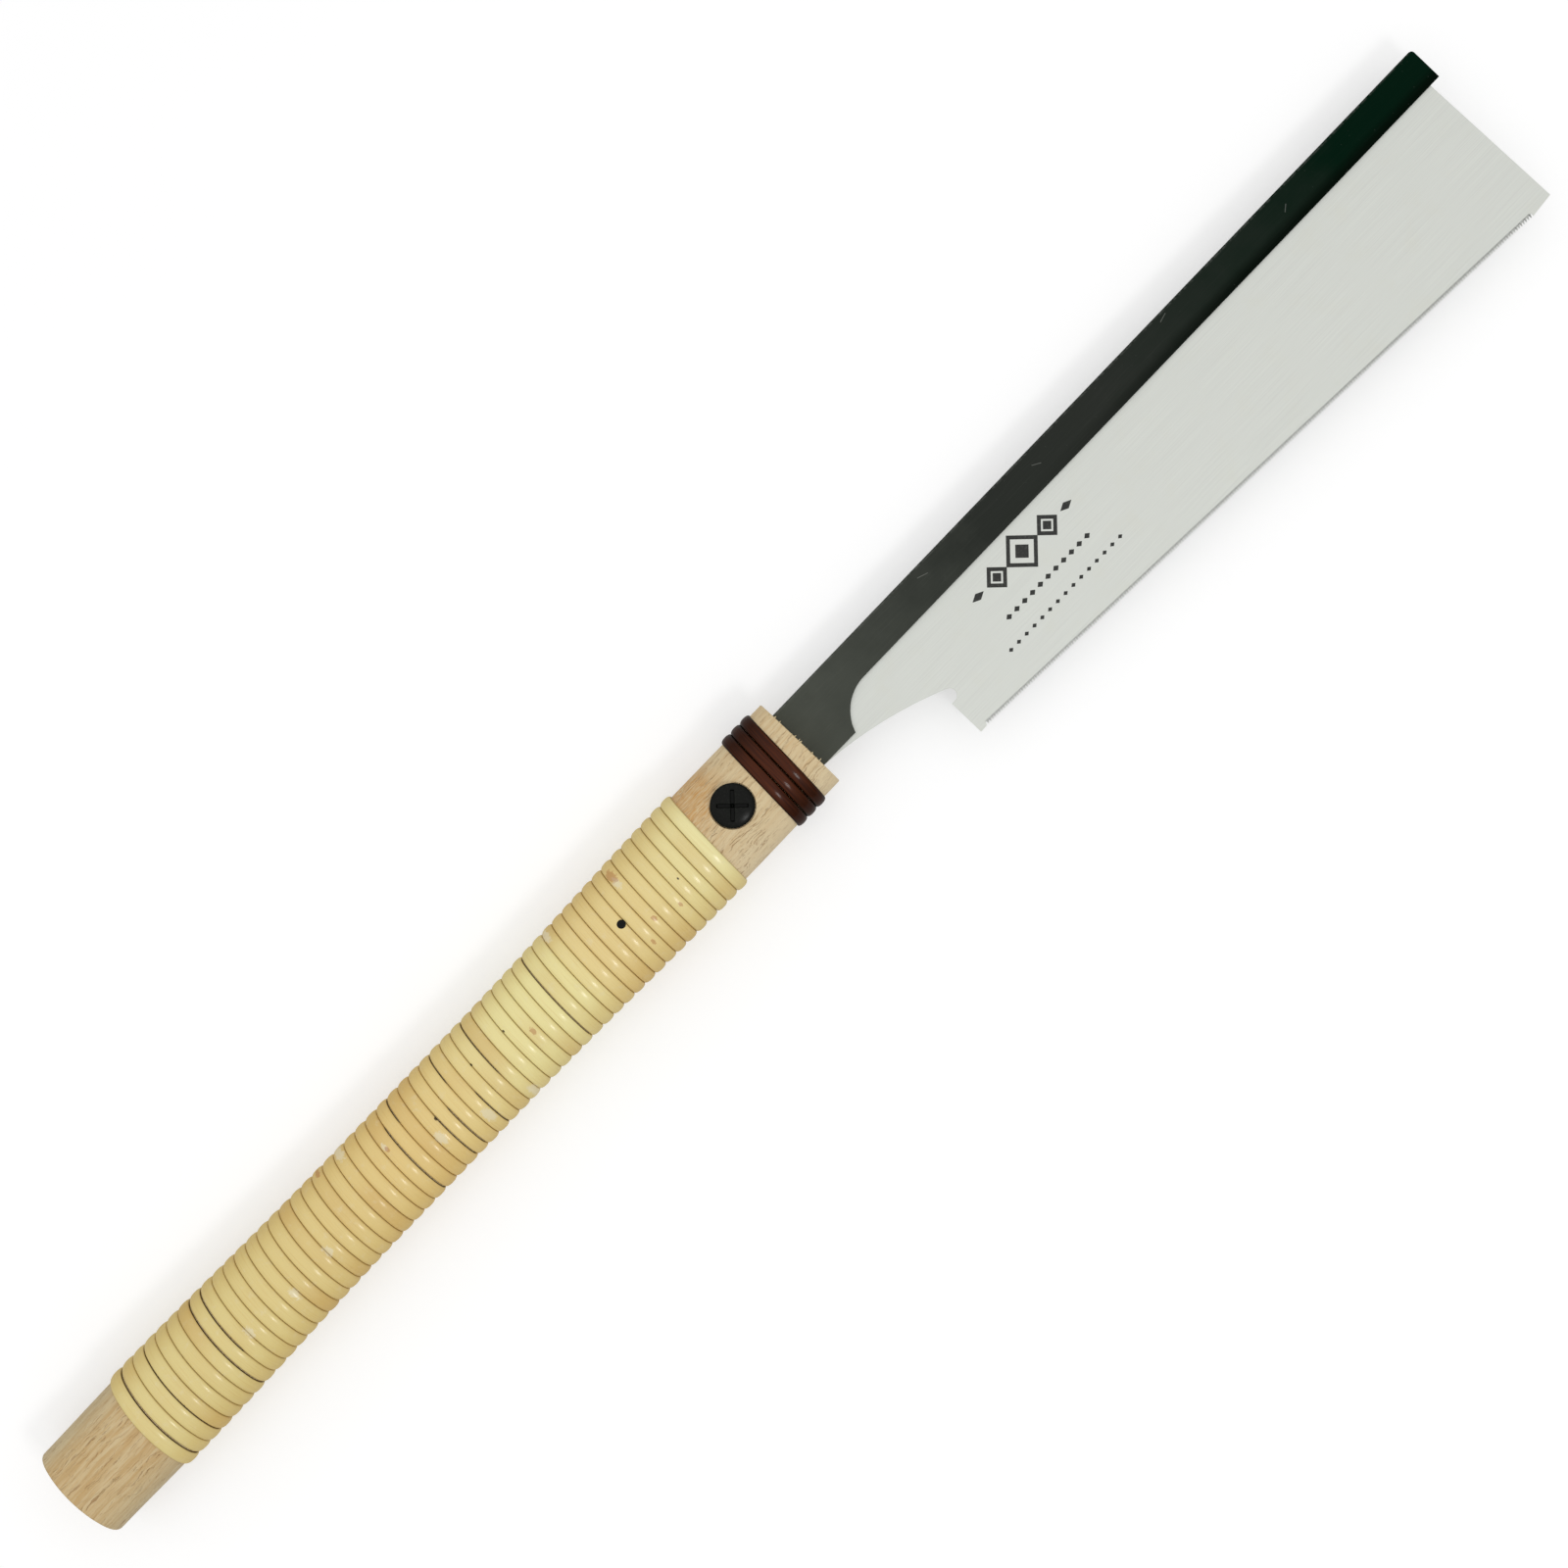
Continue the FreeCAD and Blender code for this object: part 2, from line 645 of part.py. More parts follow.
def build():
    """Every piece of the saw by node name, with its place in the handle's frame."""
    blank = make_blank()
    on_screw = Vector(-size("screw_x"), size("screw_y"), size("seat_level"))
    on_nut = Vector(-size("screw_x"), size("screw_y"), -size("seat_level"))
    on_pin = Vector(-size("pin_x"), size("pin_y"), 0)
    axis = Vector(0, 0, 0)
    return {
        "handle_wood": (make_handle(blank), axis),
        "rattan_grip": (make_rattan(), axis),
        "front_binding": (make_binding(), axis),
        "blade_spine": (make_spine(), axis),
        "saw_blade": (make_plate(), axis),
        "clamp_screw": (make_screw(), on_screw),
        "screw_washer": (make_washer(), on_screw),
        "clamp_nut": (make_nut(), on_nut),
        "slit_pin": (make_pin(), on_pin),
    }


def place(pieces):
    """Move every piece so that the origin is under the middle of the saw."""
    box = FreeCAD.BoundBox()
    for piece, spot in pieces.values():
        piece.Placement = Placement(spot, Rotation())
        box.add(piece.Shape.optimalBoundingBox())
    origin = Vector(box.Center.x, box.Center.y, box.ZMin)
    for piece, spot in pieces.values():
        piece.Placement = Placement(spot - origin, Rotation())
    doc.recompute()
    return origin


def check(pieces):
    """Stop if any object failed or any piece is empty, broken or not one solid."""
    for item in doc.Objects:
        if "Invalid" in item.State or "Error" in item.State:
            raise RuntimeError(f"{item.Name} failed: {item.State}")
    for name, (piece, _) in pieces.items():
        shape = piece.Shape
        if shape.isNull() or not shape.isValid() or len(shape.Solids) != 1:
            raise RuntimeError(f"{name} is not one sound solid")


def main():
    pieces = build()
    doc.recompute()
    origin = place(pieces)
    check(pieces)
    os.makedirs("parts", exist_ok=True)
    for name, (piece, _) in pieces.items():
        piece.Label = name
        piece.Shape.exportStep(os.path.join("parts", f"{name}.step"))
        print(f"{name}: {piece.Shape.Volume / 1000:.2f} cm3")
    print(f"the handle's frame starts at {-origin.x:.3f}, {-origin.y:.3f}, {-origin.z:.3f}")


main()
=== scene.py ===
"""Studio model of a backed pull saw: toothed plate, folded steel back, cane-bound oak handle.

Every piece is drawn in millimetres in the handle's own frame: X runs forward from the wood's
mouth, +Y is the side of the steel back, -Y the side of the teeth, and +Z the side of the clamp
screw's head. The handle's frame is found from the CAD wood, and each piece is set down there.
"""
import logging
import math
import random
from dataclasses import dataclass
from enum import Enum
from typing import Dict, List, Optional, Sequence, Tuple

import bpy
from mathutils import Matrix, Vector, noise


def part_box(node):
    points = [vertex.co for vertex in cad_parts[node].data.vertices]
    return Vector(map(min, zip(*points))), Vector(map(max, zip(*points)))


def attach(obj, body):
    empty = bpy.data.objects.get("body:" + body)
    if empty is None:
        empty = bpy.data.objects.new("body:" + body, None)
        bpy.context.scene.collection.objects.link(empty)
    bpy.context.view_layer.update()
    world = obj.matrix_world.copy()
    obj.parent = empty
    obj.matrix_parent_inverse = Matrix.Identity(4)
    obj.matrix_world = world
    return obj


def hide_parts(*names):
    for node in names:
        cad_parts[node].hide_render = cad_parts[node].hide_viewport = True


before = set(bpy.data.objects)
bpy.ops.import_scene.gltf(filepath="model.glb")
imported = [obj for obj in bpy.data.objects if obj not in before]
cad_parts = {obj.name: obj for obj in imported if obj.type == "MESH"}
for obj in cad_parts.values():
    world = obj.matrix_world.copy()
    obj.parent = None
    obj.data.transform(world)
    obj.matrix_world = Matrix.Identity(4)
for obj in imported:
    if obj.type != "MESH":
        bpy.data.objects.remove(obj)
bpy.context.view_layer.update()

MM = 0.001
log = logging.getLogger("pull_saw")

Rgb = Tuple[float, float, float]
Point2 = Tuple[float, float]
Point3 = Tuple[float, float, float]


class Part(Enum):
    """The CAD nodes that the pieces stand for."""

    WOOD = "handle_wood"
    GRIP = "rattan_grip"
    BINDING = "front_binding"
    NUT = "clamp_nut"
    PIN = "slit_pin"
    SPINE = "blade_spine"
    PLATE = "saw_blade"
    WASHER = "screw_washer"
    SCREW = "clamp_screw"


class Mover(Enum):
    """The CAD bodies that the pieces ride on."""

    HANDLE = "handle"
    BLADE = "blade"
    LIFT = "screw_lift"
    SCREW = "screw"


class Slot(Enum):
    """The record's material slots."""

    OAK = "oak"
    RATTAN = "rattan"
    DARK_CANE = "dark_cane"
    BLACK_STEEL = "black_steel"
    BLADE_STEEL = "blade_steel"
    BLACK_HARDWARE = "black_hardware"


def srgb(red: int, green: int, blue: int) -> Rgb:
    """Turns a colour on the usual 0 to 255 scale into a linear one.

    Args:
        red: Red, 0 to 255.
        green: Green, 0 to 255.
        blue: Blue, 0 to 255.

    Returns:
        The linear colour, each part 0 to 1.
    """
    def linear(level: int) -> float:
        share = level / 255.0
        return share / 12.92 if share <= 0.04045 else ((share + 0.055) / 1.055) ** 2.4

    return linear(red), linear(green), linear(blue)


def smooth_share(value: float, low: float, high: float) -> float:
    """Eases from 0 at low to 1 at high.

    Args:
        value: Where to look.
        low: Where the rise begins.
        high: Where the rise ends.

    Returns:
        The eased share, 0 to 1.
    """
    share = min(max((value - low) / (high - low), 0.0), 1.0)
    return share * share * (3.0 - 2.0 * share)


# ---------------------------------------------------------------- shader graphs


class Graph:
    """A node tree that is filled one node at a time."""

    def __init__(self, tree: bpy.types.NodeTree) -> None:
        """Starts on a tree.

        Args:
            tree: The node tree to fill.
        """
        self.tree = tree

    def node(self, kind: str, **settings: object) -> bpy.types.Node:
        """Adds a node and sets its properties.

        Args:
            kind: The node's type name.
            **settings: Properties to set on it.

        Returns:
            The new node.
        """
        made = self.tree.nodes.new(kind)
        for name, value in settings.items():
            setattr(made, name, value)
        return made

    def feed(self, socket: bpy.types.NodeSocket, value: object) -> None:
        """Links a socket to another, or sets its value.

        Args:
            socket: The input.
            value: An output socket, a number or a tuple.
        """
        if isinstance(value, bpy.types.NodeSocket):
            self.tree.links.new(value, socket)
        elif isinstance(value, tuple) and len(value) == 3 and socket.type == "RGBA":
            socket.default_value = (*value, 1.0)
        else:
            socket.default_value = value

    def math(self, operation: str, first: object, second: object = 0.0,
             third: object = 0.0) -> bpy.types.NodeSocket:
        """Adds a maths node.

        Args:
            operation: Its operation.
            first: First operand.
            second: Second operand.
            third: Third operand, where the operation has one.

        Returns:
            The result socket.
        """
        made = self.node("ShaderNodeMath", operation=operation)
        for socket, value in zip(made.inputs, (first, second, third)):
            self.feed(socket, value)
        return made.outputs[0]

    def vector(self, operation: str, first: object, second: object = (0.0, 0.0, 0.0),
               result: int = 0) -> bpy.types.NodeSocket:
        """Adds a vector maths node.

        Args:
            operation: Its operation.
            first: First operand.
            second: Second operand.
            result: Which output to give, 0 for the vector and 1 for the value.

        Returns:
            The result socket.
        """
        made = self.node("ShaderNodeVectorMath", operation=operation)
        self.feed(made.inputs[0], first)
        self.feed(made.inputs[1], second)
        return made.outputs[result]

    def mix(self, factor: object, first: object, second: object) -> bpy.types.NodeSocket:
        """Mixes two colours.

        Args:
            factor: How much of the second.
            first: First colour.
            second: Second colour.

        Returns:
            The mixed colour.
        """
        made = self.node("ShaderNodeMix", data_type="RGBA")
        self.feed(made.inputs[0], factor)
        self.feed(made.inputs[6], first)
        self.feed(made.inputs[7], second)
        return made.outputs[2]

    def ramp(self, factor: object, stops: Sequence[Tuple[float, Rgb]]) -> bpy.types.NodeSocket:
        """Adds a colour ramp.

        Args:
            factor: Where to read it.
            stops: Places and colours, in order.

        Returns:
            The colour socket.
        """
        made = self.node("ShaderNodeValToRGB")
        ramp = made.color_ramp
        while len(ramp.elements) < len(stops):
            ramp.elements.new(0.5)
        for element, (place, colour) in zip(ramp.elements, stops):
            element.position = place
        for element, (place, colour) in zip(ramp.elements, stops):
            element.color = (*colour, 1.0)
        self.feed(made.inputs[0], factor)
        return made.outputs[0]

    def band(self, value: object, low: float, high: float) -> bpy.types.NodeSocket:
        """Maps low..high smoothly to 0..1.

        Args:
            value: The value to map.
            low: Maps to 0; may be above high for a falling band.
            high: Maps to 1.

        Returns:
            The mapped value.
        """
        made = self.node("ShaderNodeMapRange", interpolation_type="SMOOTHSTEP")
        self.feed(made.inputs[0], value)
        made.inputs[1].default_value = low
        made.inputs[2].default_value = high
        return made.outputs[0]

    def noise(self, where: object, scale: float, detail: float = 3.0, roughness: float = 0.5,
              distortion: float = 0.0) -> bpy.types.NodeSocket:
        """Adds a noise texture.

        Args:
            where: The coordinate.
            scale: Its scale.
            detail: Octaves.
            roughness: How strong the fine octaves are.
            distortion: How much it is bent.

        Returns:
            The noise value, 0 to 1.
        """
        made = self.node("ShaderNodeTexNoise")
        self.feed(made.inputs["Vector"], where)
        made.inputs["Scale"].default_value = scale
        made.inputs["Detail"].default_value = detail
        made.inputs["Roughness"].default_value = roughness
        made.inputs["Distortion"].default_value = distortion
        return made.outputs[0]

    def group(self, group: bpy.types.NodeTree, **inputs: object) -> bpy.types.Node:
        """Adds a shared group.

        Args:
            group: The group's tree.
            **inputs: Values or sockets for its inputs, by name.

        Returns:
            The group node.
        """
        made = self.node("ShaderNodeGroup", node_tree=group)
        for name, value in inputs.items():
            self.feed(made.inputs[name], value)
        return made


class Effects:
    """Shared shader groups, each built once, giving only masks, values and coordinates."""

    def __init__(self) -> None:
        """Builds every group."""
        self.place = self._place()
        self.fibre = self._fibre()
        self.pores = self._pores()
        self.spot = self._spot()
        self.stroke = self._stroke()
        self.wear_and_highlight = self._wear_and_highlight()
        self.dust = self._dust()
        self.hairlines = self._hairlines()

    @staticmethod
    def _blank(name: str, inputs: Sequence[Tuple[str, str, object]],
               outputs: Sequence[Tuple[str, str]]) -> Tuple[Graph, bpy.types.Node, bpy.types.Node]:
        """Makes an empty group with its sockets.

        Args:
            name: The group's name.
            inputs: Name, kind and first value of each input.
            outputs: Name and kind of each output.

        Returns:
            The graph, its input node and its output node.
        """
        tree = bpy.data.node_groups.new(name, "ShaderNodeTree")
        kinds = {"value": "NodeSocketFloat", "vector": "NodeSocketVector"}
        for label, kind, start in inputs:
            socket = tree.interface.new_socket(label, in_out="INPUT", socket_type=kinds[kind])
            if start is not None:
                socket.default_value = start
        for label, kind in outputs:
            tree.interface.new_socket(label, in_out="OUTPUT", socket_type=kinds[kind])
        graph = Graph(tree)
        return graph, graph.node("NodeGroupInput"), graph.node("NodeGroupOutput")

    def _place(self) -> bpy.types.NodeTree:
        """Gives the place on the piece in millimetres in the handle's frame."""
        graph, _, out = self._blank("Place", (), (("Place", "vector"),))
        spot = graph.node("ShaderNodeTexCoord").outputs["Object"]
        scaled = graph.vector("SCALE", spot)
        scaled.node.inputs["Scale"].default_value = 1.0 / MM
        graph.feed(out.inputs["Place"], scaled)
        return graph.tree

    def _fibre(self) -> bpy.types.NodeTree:
        """Gives streaks drawn out along one axis by the stretch given."""
        graph, given, out = self._blank(
            "Fibre",
            (("Place", "vector", None), ("Stretch", "vector", (0.1, 1.0, 1.0)),
             ("Sway", "value", 0.4)),
            (("Value", "value"), ("Fine", "value")))
        low = graph.noise(given.outputs["Place"], 0.06, 2.0)
        sway = graph.math("MULTIPLY", graph.math("SUBTRACT", low, 0.5), given.outputs["Sway"])
        drift = graph.node("ShaderNodeCombineXYZ")
        graph.feed(drift.inputs[1], sway)
        graph.feed(drift.inputs[2], sway)
        moved = graph.vector("ADD", given.outputs["Place"], drift.outputs[0])
        drawn = graph.vector("MULTIPLY", moved, given.outputs["Stretch"])
        graph.feed(out.inputs["Value"], graph.noise(drawn, 1.0, 4.0, 0.55, 0.3))
        graph.feed(out.inputs["Fine"], graph.noise(drawn, 4.3, 5.0, 0.65, 0.2))
        return graph.tree

    def _pores(self) -> bpy.types.NodeTree:
        """Gives the mask of open pores: thin wavy dashes along the grain."""
        graph, given, out = self._blank(
            "Pores",
            (("Place", "vector", None), ("Amount", "value", 0.5)),
            (("Mask", "value"), ("Band", "value")))
        low = graph.noise(given.outputs["Place"], 0.11, 3.0, 0.5)
        bend = graph.math("MULTIPLY", graph.math("SUBTRACT", low, 0.5), 5.0)
        drift = graph.node("ShaderNodeCombineXYZ")
        graph.feed(drift.inputs[1], bend)
        moved = graph.vector("ADD", given.outputs["Place"], drift.outputs[0])
        dashes = graph.noise(graph.vector("MULTIPLY", moved, (0.16, 2.1, 2.1)), 1.0, 3.0, 0.6)
        bands = graph.noise(graph.vector("MULTIPLY", moved, (0.03, 0.33, 0.33)), 1.0, 2.0, 0.5)
        ring = graph.band(bands, 0.42, 0.62)
        raised = graph.math("MULTIPLY_ADD", given.outputs["Amount"], -0.12, 0.66)
        over = graph.math("MULTIPLY", graph.math("SUBTRACT", dashes, raised), 14.0)
        held = graph.node("ShaderNodeClamp")
        graph.feed(held.inputs[0], over)
        strong = graph.math("MULTIPLY_ADD", ring, 0.65, 0.35)
        graph.feed(out.inputs["Mask"], graph.math("MULTIPLY", held.outputs[0], strong))
        graph.feed(out.inputs["Band"], ring)
        return graph.tree

    def _spot(self) -> bpy.types.NodeTree:
        """Gives the mask of one ragged spot on the side that shows the screw's head."""
        graph, given, out = self._blank(
            "Spot",
            (("Place", "vector", None), ("Centre", "vector", (0.0, 0.0, 0.0)),
             ("Radius", "value", 1.0), ("Ragged", "value", 0.4)),
            (("Mask", "value"),))
        flat = graph.vector("MULTIPLY", given.outputs["Place"], (1.0, 1.0, 0.0))
        offset = graph.vector("SUBTRACT", flat, given.outputs["Centre"])
        drawn = graph.vector("MULTIPLY", offset, (1.25, 0.8, 0.0))
        away = graph.vector("LENGTH", drawn, result=1)
        share = graph.math("DIVIDE", away, given.outputs["Radius"])
        rough = graph.math("SUBTRACT", graph.noise(given.outputs["Place"], 0.8, 4.0, 0.6), 0.5)
        torn = graph.math("MULTIPLY_ADD", rough, given.outputs["Ragged"], share)
        split = graph.node("ShaderNodeSeparateXYZ")
        graph.feed(split.inputs[0], given.outputs["Place"])
        upper = graph.math("GREATER_THAN", split.outputs[2], 0.0)
        mask = graph.math("MULTIPLY", graph.band(torn, 1.0, 0.62), upper)
        graph.feed(out.inputs["Mask"], mask)
        return graph.tree

    def _stroke(self) -> bpy.types.NodeTree:
        """Gives the mask of one short scratch from a start along a run, on the head's side."""
        graph, given, out = self._blank(
            "Stroke",
            (("Place", "vector", None), ("Start", "vector", (0.0, 0.0, 0.0)),
             ("Run", "vector", (1.0, 0.0, 0.0)), ("Width", "value", 0.2)),
            (("Mask", "value"),))
        flat = graph.vector("MULTIPLY", given.outputs["Place"], (1.0, 1.0, 0.0))
        offset = graph.vector("SUBTRACT", flat, given.outputs["Start"])
        run = given.outputs["Run"]
        along = graph.vector("DOT_PRODUCT", offset, run, result=1)
        length = graph.vector("DOT_PRODUCT", run, run, result=1)
        share = graph.node("ShaderNodeClamp")
        graph.feed(share.inputs[0], graph.math("DIVIDE", along, length))
        near = graph.vector("SCALE", run)
        graph.feed(near.node.inputs["Scale"], share.outputs[0])
        away = graph.vector("DISTANCE", offset, near, result=1)
        ratio = graph.math("DIVIDE", away, given.outputs["Width"])
        rough = graph.math("SUBTRACT", graph.noise(given.outputs["Place"], 2.4, 2.0), 0.5)
        mask = graph.band(graph.math("MULTIPLY_ADD", rough, 0.9, ratio), 1.0, 0.3)
        split = graph.node("ShaderNodeSeparateXYZ")
        graph.feed(split.inputs[0], given.outputs["Place"])
        upper = graph.math("GREATER_THAN", split.outputs[2], 0.0)
        graph.feed(out.inputs["Mask"], graph.math("MULTIPLY", mask, upper))
        return graph.tree

    def _wear_and_highlight(self) -> bpy.types.NodeTree:
        """Gives the mask of rubbed edges, broken up by noise, which also serves for painted
        highlights on edges.
        """
        graph, given, out = self._blank(
            "EdgeWearAndHighlight",
            (("Place", "vector", None), ("Amount", "value", 0.5)),
            (("Mask", "value"),))
        keen = graph.node("ShaderNodeNewGeometry").outputs["Pointiness"]
        edge = graph.band(keen, 0.52, 0.60)
        patchy = graph.band(graph.noise(given.outputs["Place"], 0.8, 4.0, 0.6), 0.38, 0.62)
        rubbed = graph.math("MULTIPLY", edge, patchy)
        graph.feed(out.inputs["Mask"], graph.math("MULTIPLY", rubbed, given.outputs["Amount"]))
        return graph.tree

    def _dust(self) -> bpy.types.NodeTree:
        """Gives a soft mottle and a sparse speckle of dust."""
        graph, given, out = self._blank(
            "Dust",
            (("Place", "vector", None),),
            (("Mottle", "value"), ("Speck", "value")))
        mottle = graph.noise(given.outputs["Place"], 0.09, 4.0, 0.55)
        graph.feed(out.inputs["Mottle"], mottle)
        cells = graph.node("ShaderNodeTexVoronoi", feature="F1")
        graph.feed(cells.inputs["Vector"], given.outputs["Place"])
        cells.inputs["Scale"].default_value = 0.35
        fleck = graph.band(cells.outputs["Distance"], 0.075, 0.03)
        graph.feed(out.inputs["Speck"], fleck)
        return graph.tree

    def _hairlines(self) -> bpy.types.NodeTree:
        """Gives very fine lines across the plate, as grinding leaves, and a few long ones."""
        graph, given, out = self._blank(
            "Hairlines",
            (("Place", "vector", None), ("Stretch", "vector", (0.02, 9.0, 9.0))),
            (("Value", "value"), ("Long", "value")))
        drawn = graph.vector("MULTIPLY", given.outputs["Place"], given.outputs["Stretch"])
        graph.feed(out.inputs["Value"], graph.noise(drawn, 1.0, 3.0, 0.7))
        graph.feed(out.inputs["Long"], graph.band(graph.noise(drawn, 0.23, 2.0, 0.5), 0.68, 0.74))
        return graph.tree


class Finish:
    """A material in the making, with its shader and the place on the piece."""

    def __init__(self, name: str, effects: Effects) -> None:
        """Starts a material.

        Args:
            name: The material's name.
            effects: The shared shader groups.
        """
        self.material = bpy.data.materials.new(name)
        self.material.use_nodes = True
        self.effects = effects
        self.graph = Graph(self.material.node_tree)
        nodes = self.material.node_tree.nodes
        self.shader = nodes["Principled BSDF"]
        self.place = self.graph.group(effects.place).outputs["Place"]

    def attribute(self, name: str) -> bpy.types.NodeSocket:
        """Reads a value that the mesh carries.

        Args:
            name: The attribute's name.

        Returns:
            Its value socket.
        """
        return self.graph.node("ShaderNodeAttribute", attribute_name=name).outputs["Fac"]

    def along(self) -> bpy.types.NodeSocket:
        """Gives how far forward of the mouth the place is, in millimetres."""
        return self.axis(0)

    def bump(self, height: object, depth: float) -> bpy.types.NodeSocket:
        """Adds a bump.

        Args:
            height: The height value.
            depth: How deep it is, in millimetres.

        Returns:
            The normal socket.
        """
        made = self.graph.node("ShaderNodeBump")
        made.inputs["Strength"].default_value = 1.0
        made.inputs["Distance"].default_value = depth * MM
        self.graph.feed(made.inputs["Height"], height)
        return made.outputs[0]

    def gloss(self, strength: float) -> None:
        """Coats the piece with lacquer that fades towards its outline.

        Args:
            strength: The coat's weight where the surface faces the eye.
        """
        facing = self.graph.node("ShaderNodeLayerWeight").outputs["Facing"]
        flat = self.graph.math("POWER", self.graph.math("SUBTRACT", 1.0, facing), 1.5)
        weight = self.graph.math("MULTIPLY", flat, strength)
        self.graph.feed(self.shader.inputs["Coat Weight"], weight)

    def axis(self, index: int) -> bpy.types.NodeSocket:
        """Gives one coordinate of the place, 0 for X to 2 for Z."""
        split = self.graph.node("ShaderNodeSeparateXYZ")
        self.graph.feed(split.inputs[0], self.place)
        return split.outputs[index]

    def painted_side_shade(self, low: float, high: float, strength: float) -> bpy.types.NodeSocket:
        """Gives the mask of painted shade, which rises towards the handle's two narrow sides.

        Args:
            low: Distance from the middle at which it starts.
            high: Distance at which it is full.
            strength: Its full value.

        Returns:
            The mask.
        """
        side = self.graph.math("ABSOLUTE", self.axis(1))
        return self.graph.math("MULTIPLY", self.graph.band(side, low, high), strength)

    def close(self, colour: object, roughness: object, normal: object,
              **constants: float) -> bpy.types.Material:
        """Feeds the shader and gives the material.

        Args:
            colour: Base colour.
            roughness: Roughness.
            normal: Normal.
            **constants: Other inputs by name, with _ for a space.

        Returns:
            The finished material.
        """
        self.graph.feed(self.shader.inputs["Base Color"], colour)
        self.graph.feed(self.shader.inputs["Roughness"], roughness)
        self.graph.feed(self.shader.inputs["Normal"], normal)
        for name, value in constants.items():
            self.shader.inputs[name.replace("_", " ")].default_value = value
        return self.material


# ---------------------------------------------------------------- finishes


@dataclass(frozen=True)
class OakFinish:
    """Bare sanded open-grained wood: pale straw with brown pores and warmer bands."""

    name: str = "oak_bare"
    pale: Rgb = srgb(216, 193, 147)
    body: Rgb = srgb(201, 169, 116)
    warm: Rgb = srgb(201, 144, 66)
    pore: Rgb = srgb(150, 104, 56)
    # Greyer tone painted on the two narrow sides as shade.
    grey_side_shade: Rgb = srgb(190, 178, 144)
    # Pale tone; also painted on the teeth side near the mouth as light.
    light: Rgb = srgb(232, 214, 176)

    def build(self, effects: Effects) -> bpy.types.Material:
        """Builds the material.

        Args:
            effects: The shared shader groups.

        Returns:
            The material.
        """
        finish = Finish(self.name, effects)
        graph = finish.graph
        fibre = graph.group(effects.fibre, Place=finish.place, Stretch=(0.035, 0.75, 0.75),
                            Sway=2.5)
        thin = graph.group(effects.fibre, Place=finish.place, Stretch=(0.09, 3.1, 3.1), Sway=1.2)
        pores = graph.group(effects.pores, Place=finish.place, Amount=0.8)
        colour = graph.mix(graph.band(fibre.outputs["Value"], 0.36, 0.66), self.pale, self.body)
        back = finish.axis(0)
        across = finish.axis(1)
        spine_side = graph.band(across, -1.0, 9.0)
        near_mouth = graph.band(back, -60.0, -46.0)
        colour = graph.mix(graph.math("MULTIPLY", near_mouth, 0.42), colour, self.light)
        flame = graph.band(fibre.outputs["Fine"], 0.38, 0.60)
        neck = graph.math("MULTIPLY", near_mouth, graph.band(back, -22.0, -34.0))
        heat = graph.math("MULTIPLY", graph.math("MULTIPLY", spine_side, neck), flame)
        colour = graph.mix(graph.math("MULTIPLY", heat, 0.85), colour, self.warm)
        streak = graph.math("MULTIPLY", graph.band(thin.outputs["Value"], 0.5, 0.75), 0.4)
        colour = graph.mix(streak, colour, self.warm)
        side = graph.math("ABSOLUTE", across)
        # Painted light: the teeth side near the mouth is lightened with the pale tone.
        lip = graph.math("MULTIPLY", near_mouth, graph.band(across, -7.0, -14.0))
        colour = graph.mix(graph.math("MULTIPLY", lip, 0.5), colour, self.light)
        # Painted shade: behind the mouth the two narrow sides are greyed, as light falls off round
        # the oval.
        rear = graph.math("MULTIPLY", graph.math("SUBTRACT", 1.0, near_mouth), 0.45)
        colour = graph.mix(graph.math("MULTIPLY", graph.band(side, 9.0, 17.0), rear), colour,
                           self.grey_side_shade)
        line = graph.band(thin.outputs["Fine"], 0.55, 0.72)
        dark = graph.math("MAXIMUM", graph.math("MULTIPLY", pores.outputs["Mask"], 0.62),
                          graph.math("MULTIPLY", line, 0.30))
        colour = graph.mix(dark, colour, self.pore)
        height = graph.math("SUBTRACT", graph.math("MULTIPLY", thin.outputs["Fine"], 0.5),
                            pores.outputs["Mask"])
        normal = finish.bump(height, 0.09)
        rough = graph.math("MULTIPLY_ADD", fibre.outputs["Fine"], 0.2, 0.5)
        return finish.close(colour, rough, normal)


@dataclass(frozen=True)
class Blemish:
    """One mark on the pale cane, seen from the screw's head side."""

    x: float
    y: float
    radius: float
    colour: Rgb
    strength: float = 0.8
    ragged: float = 0.9


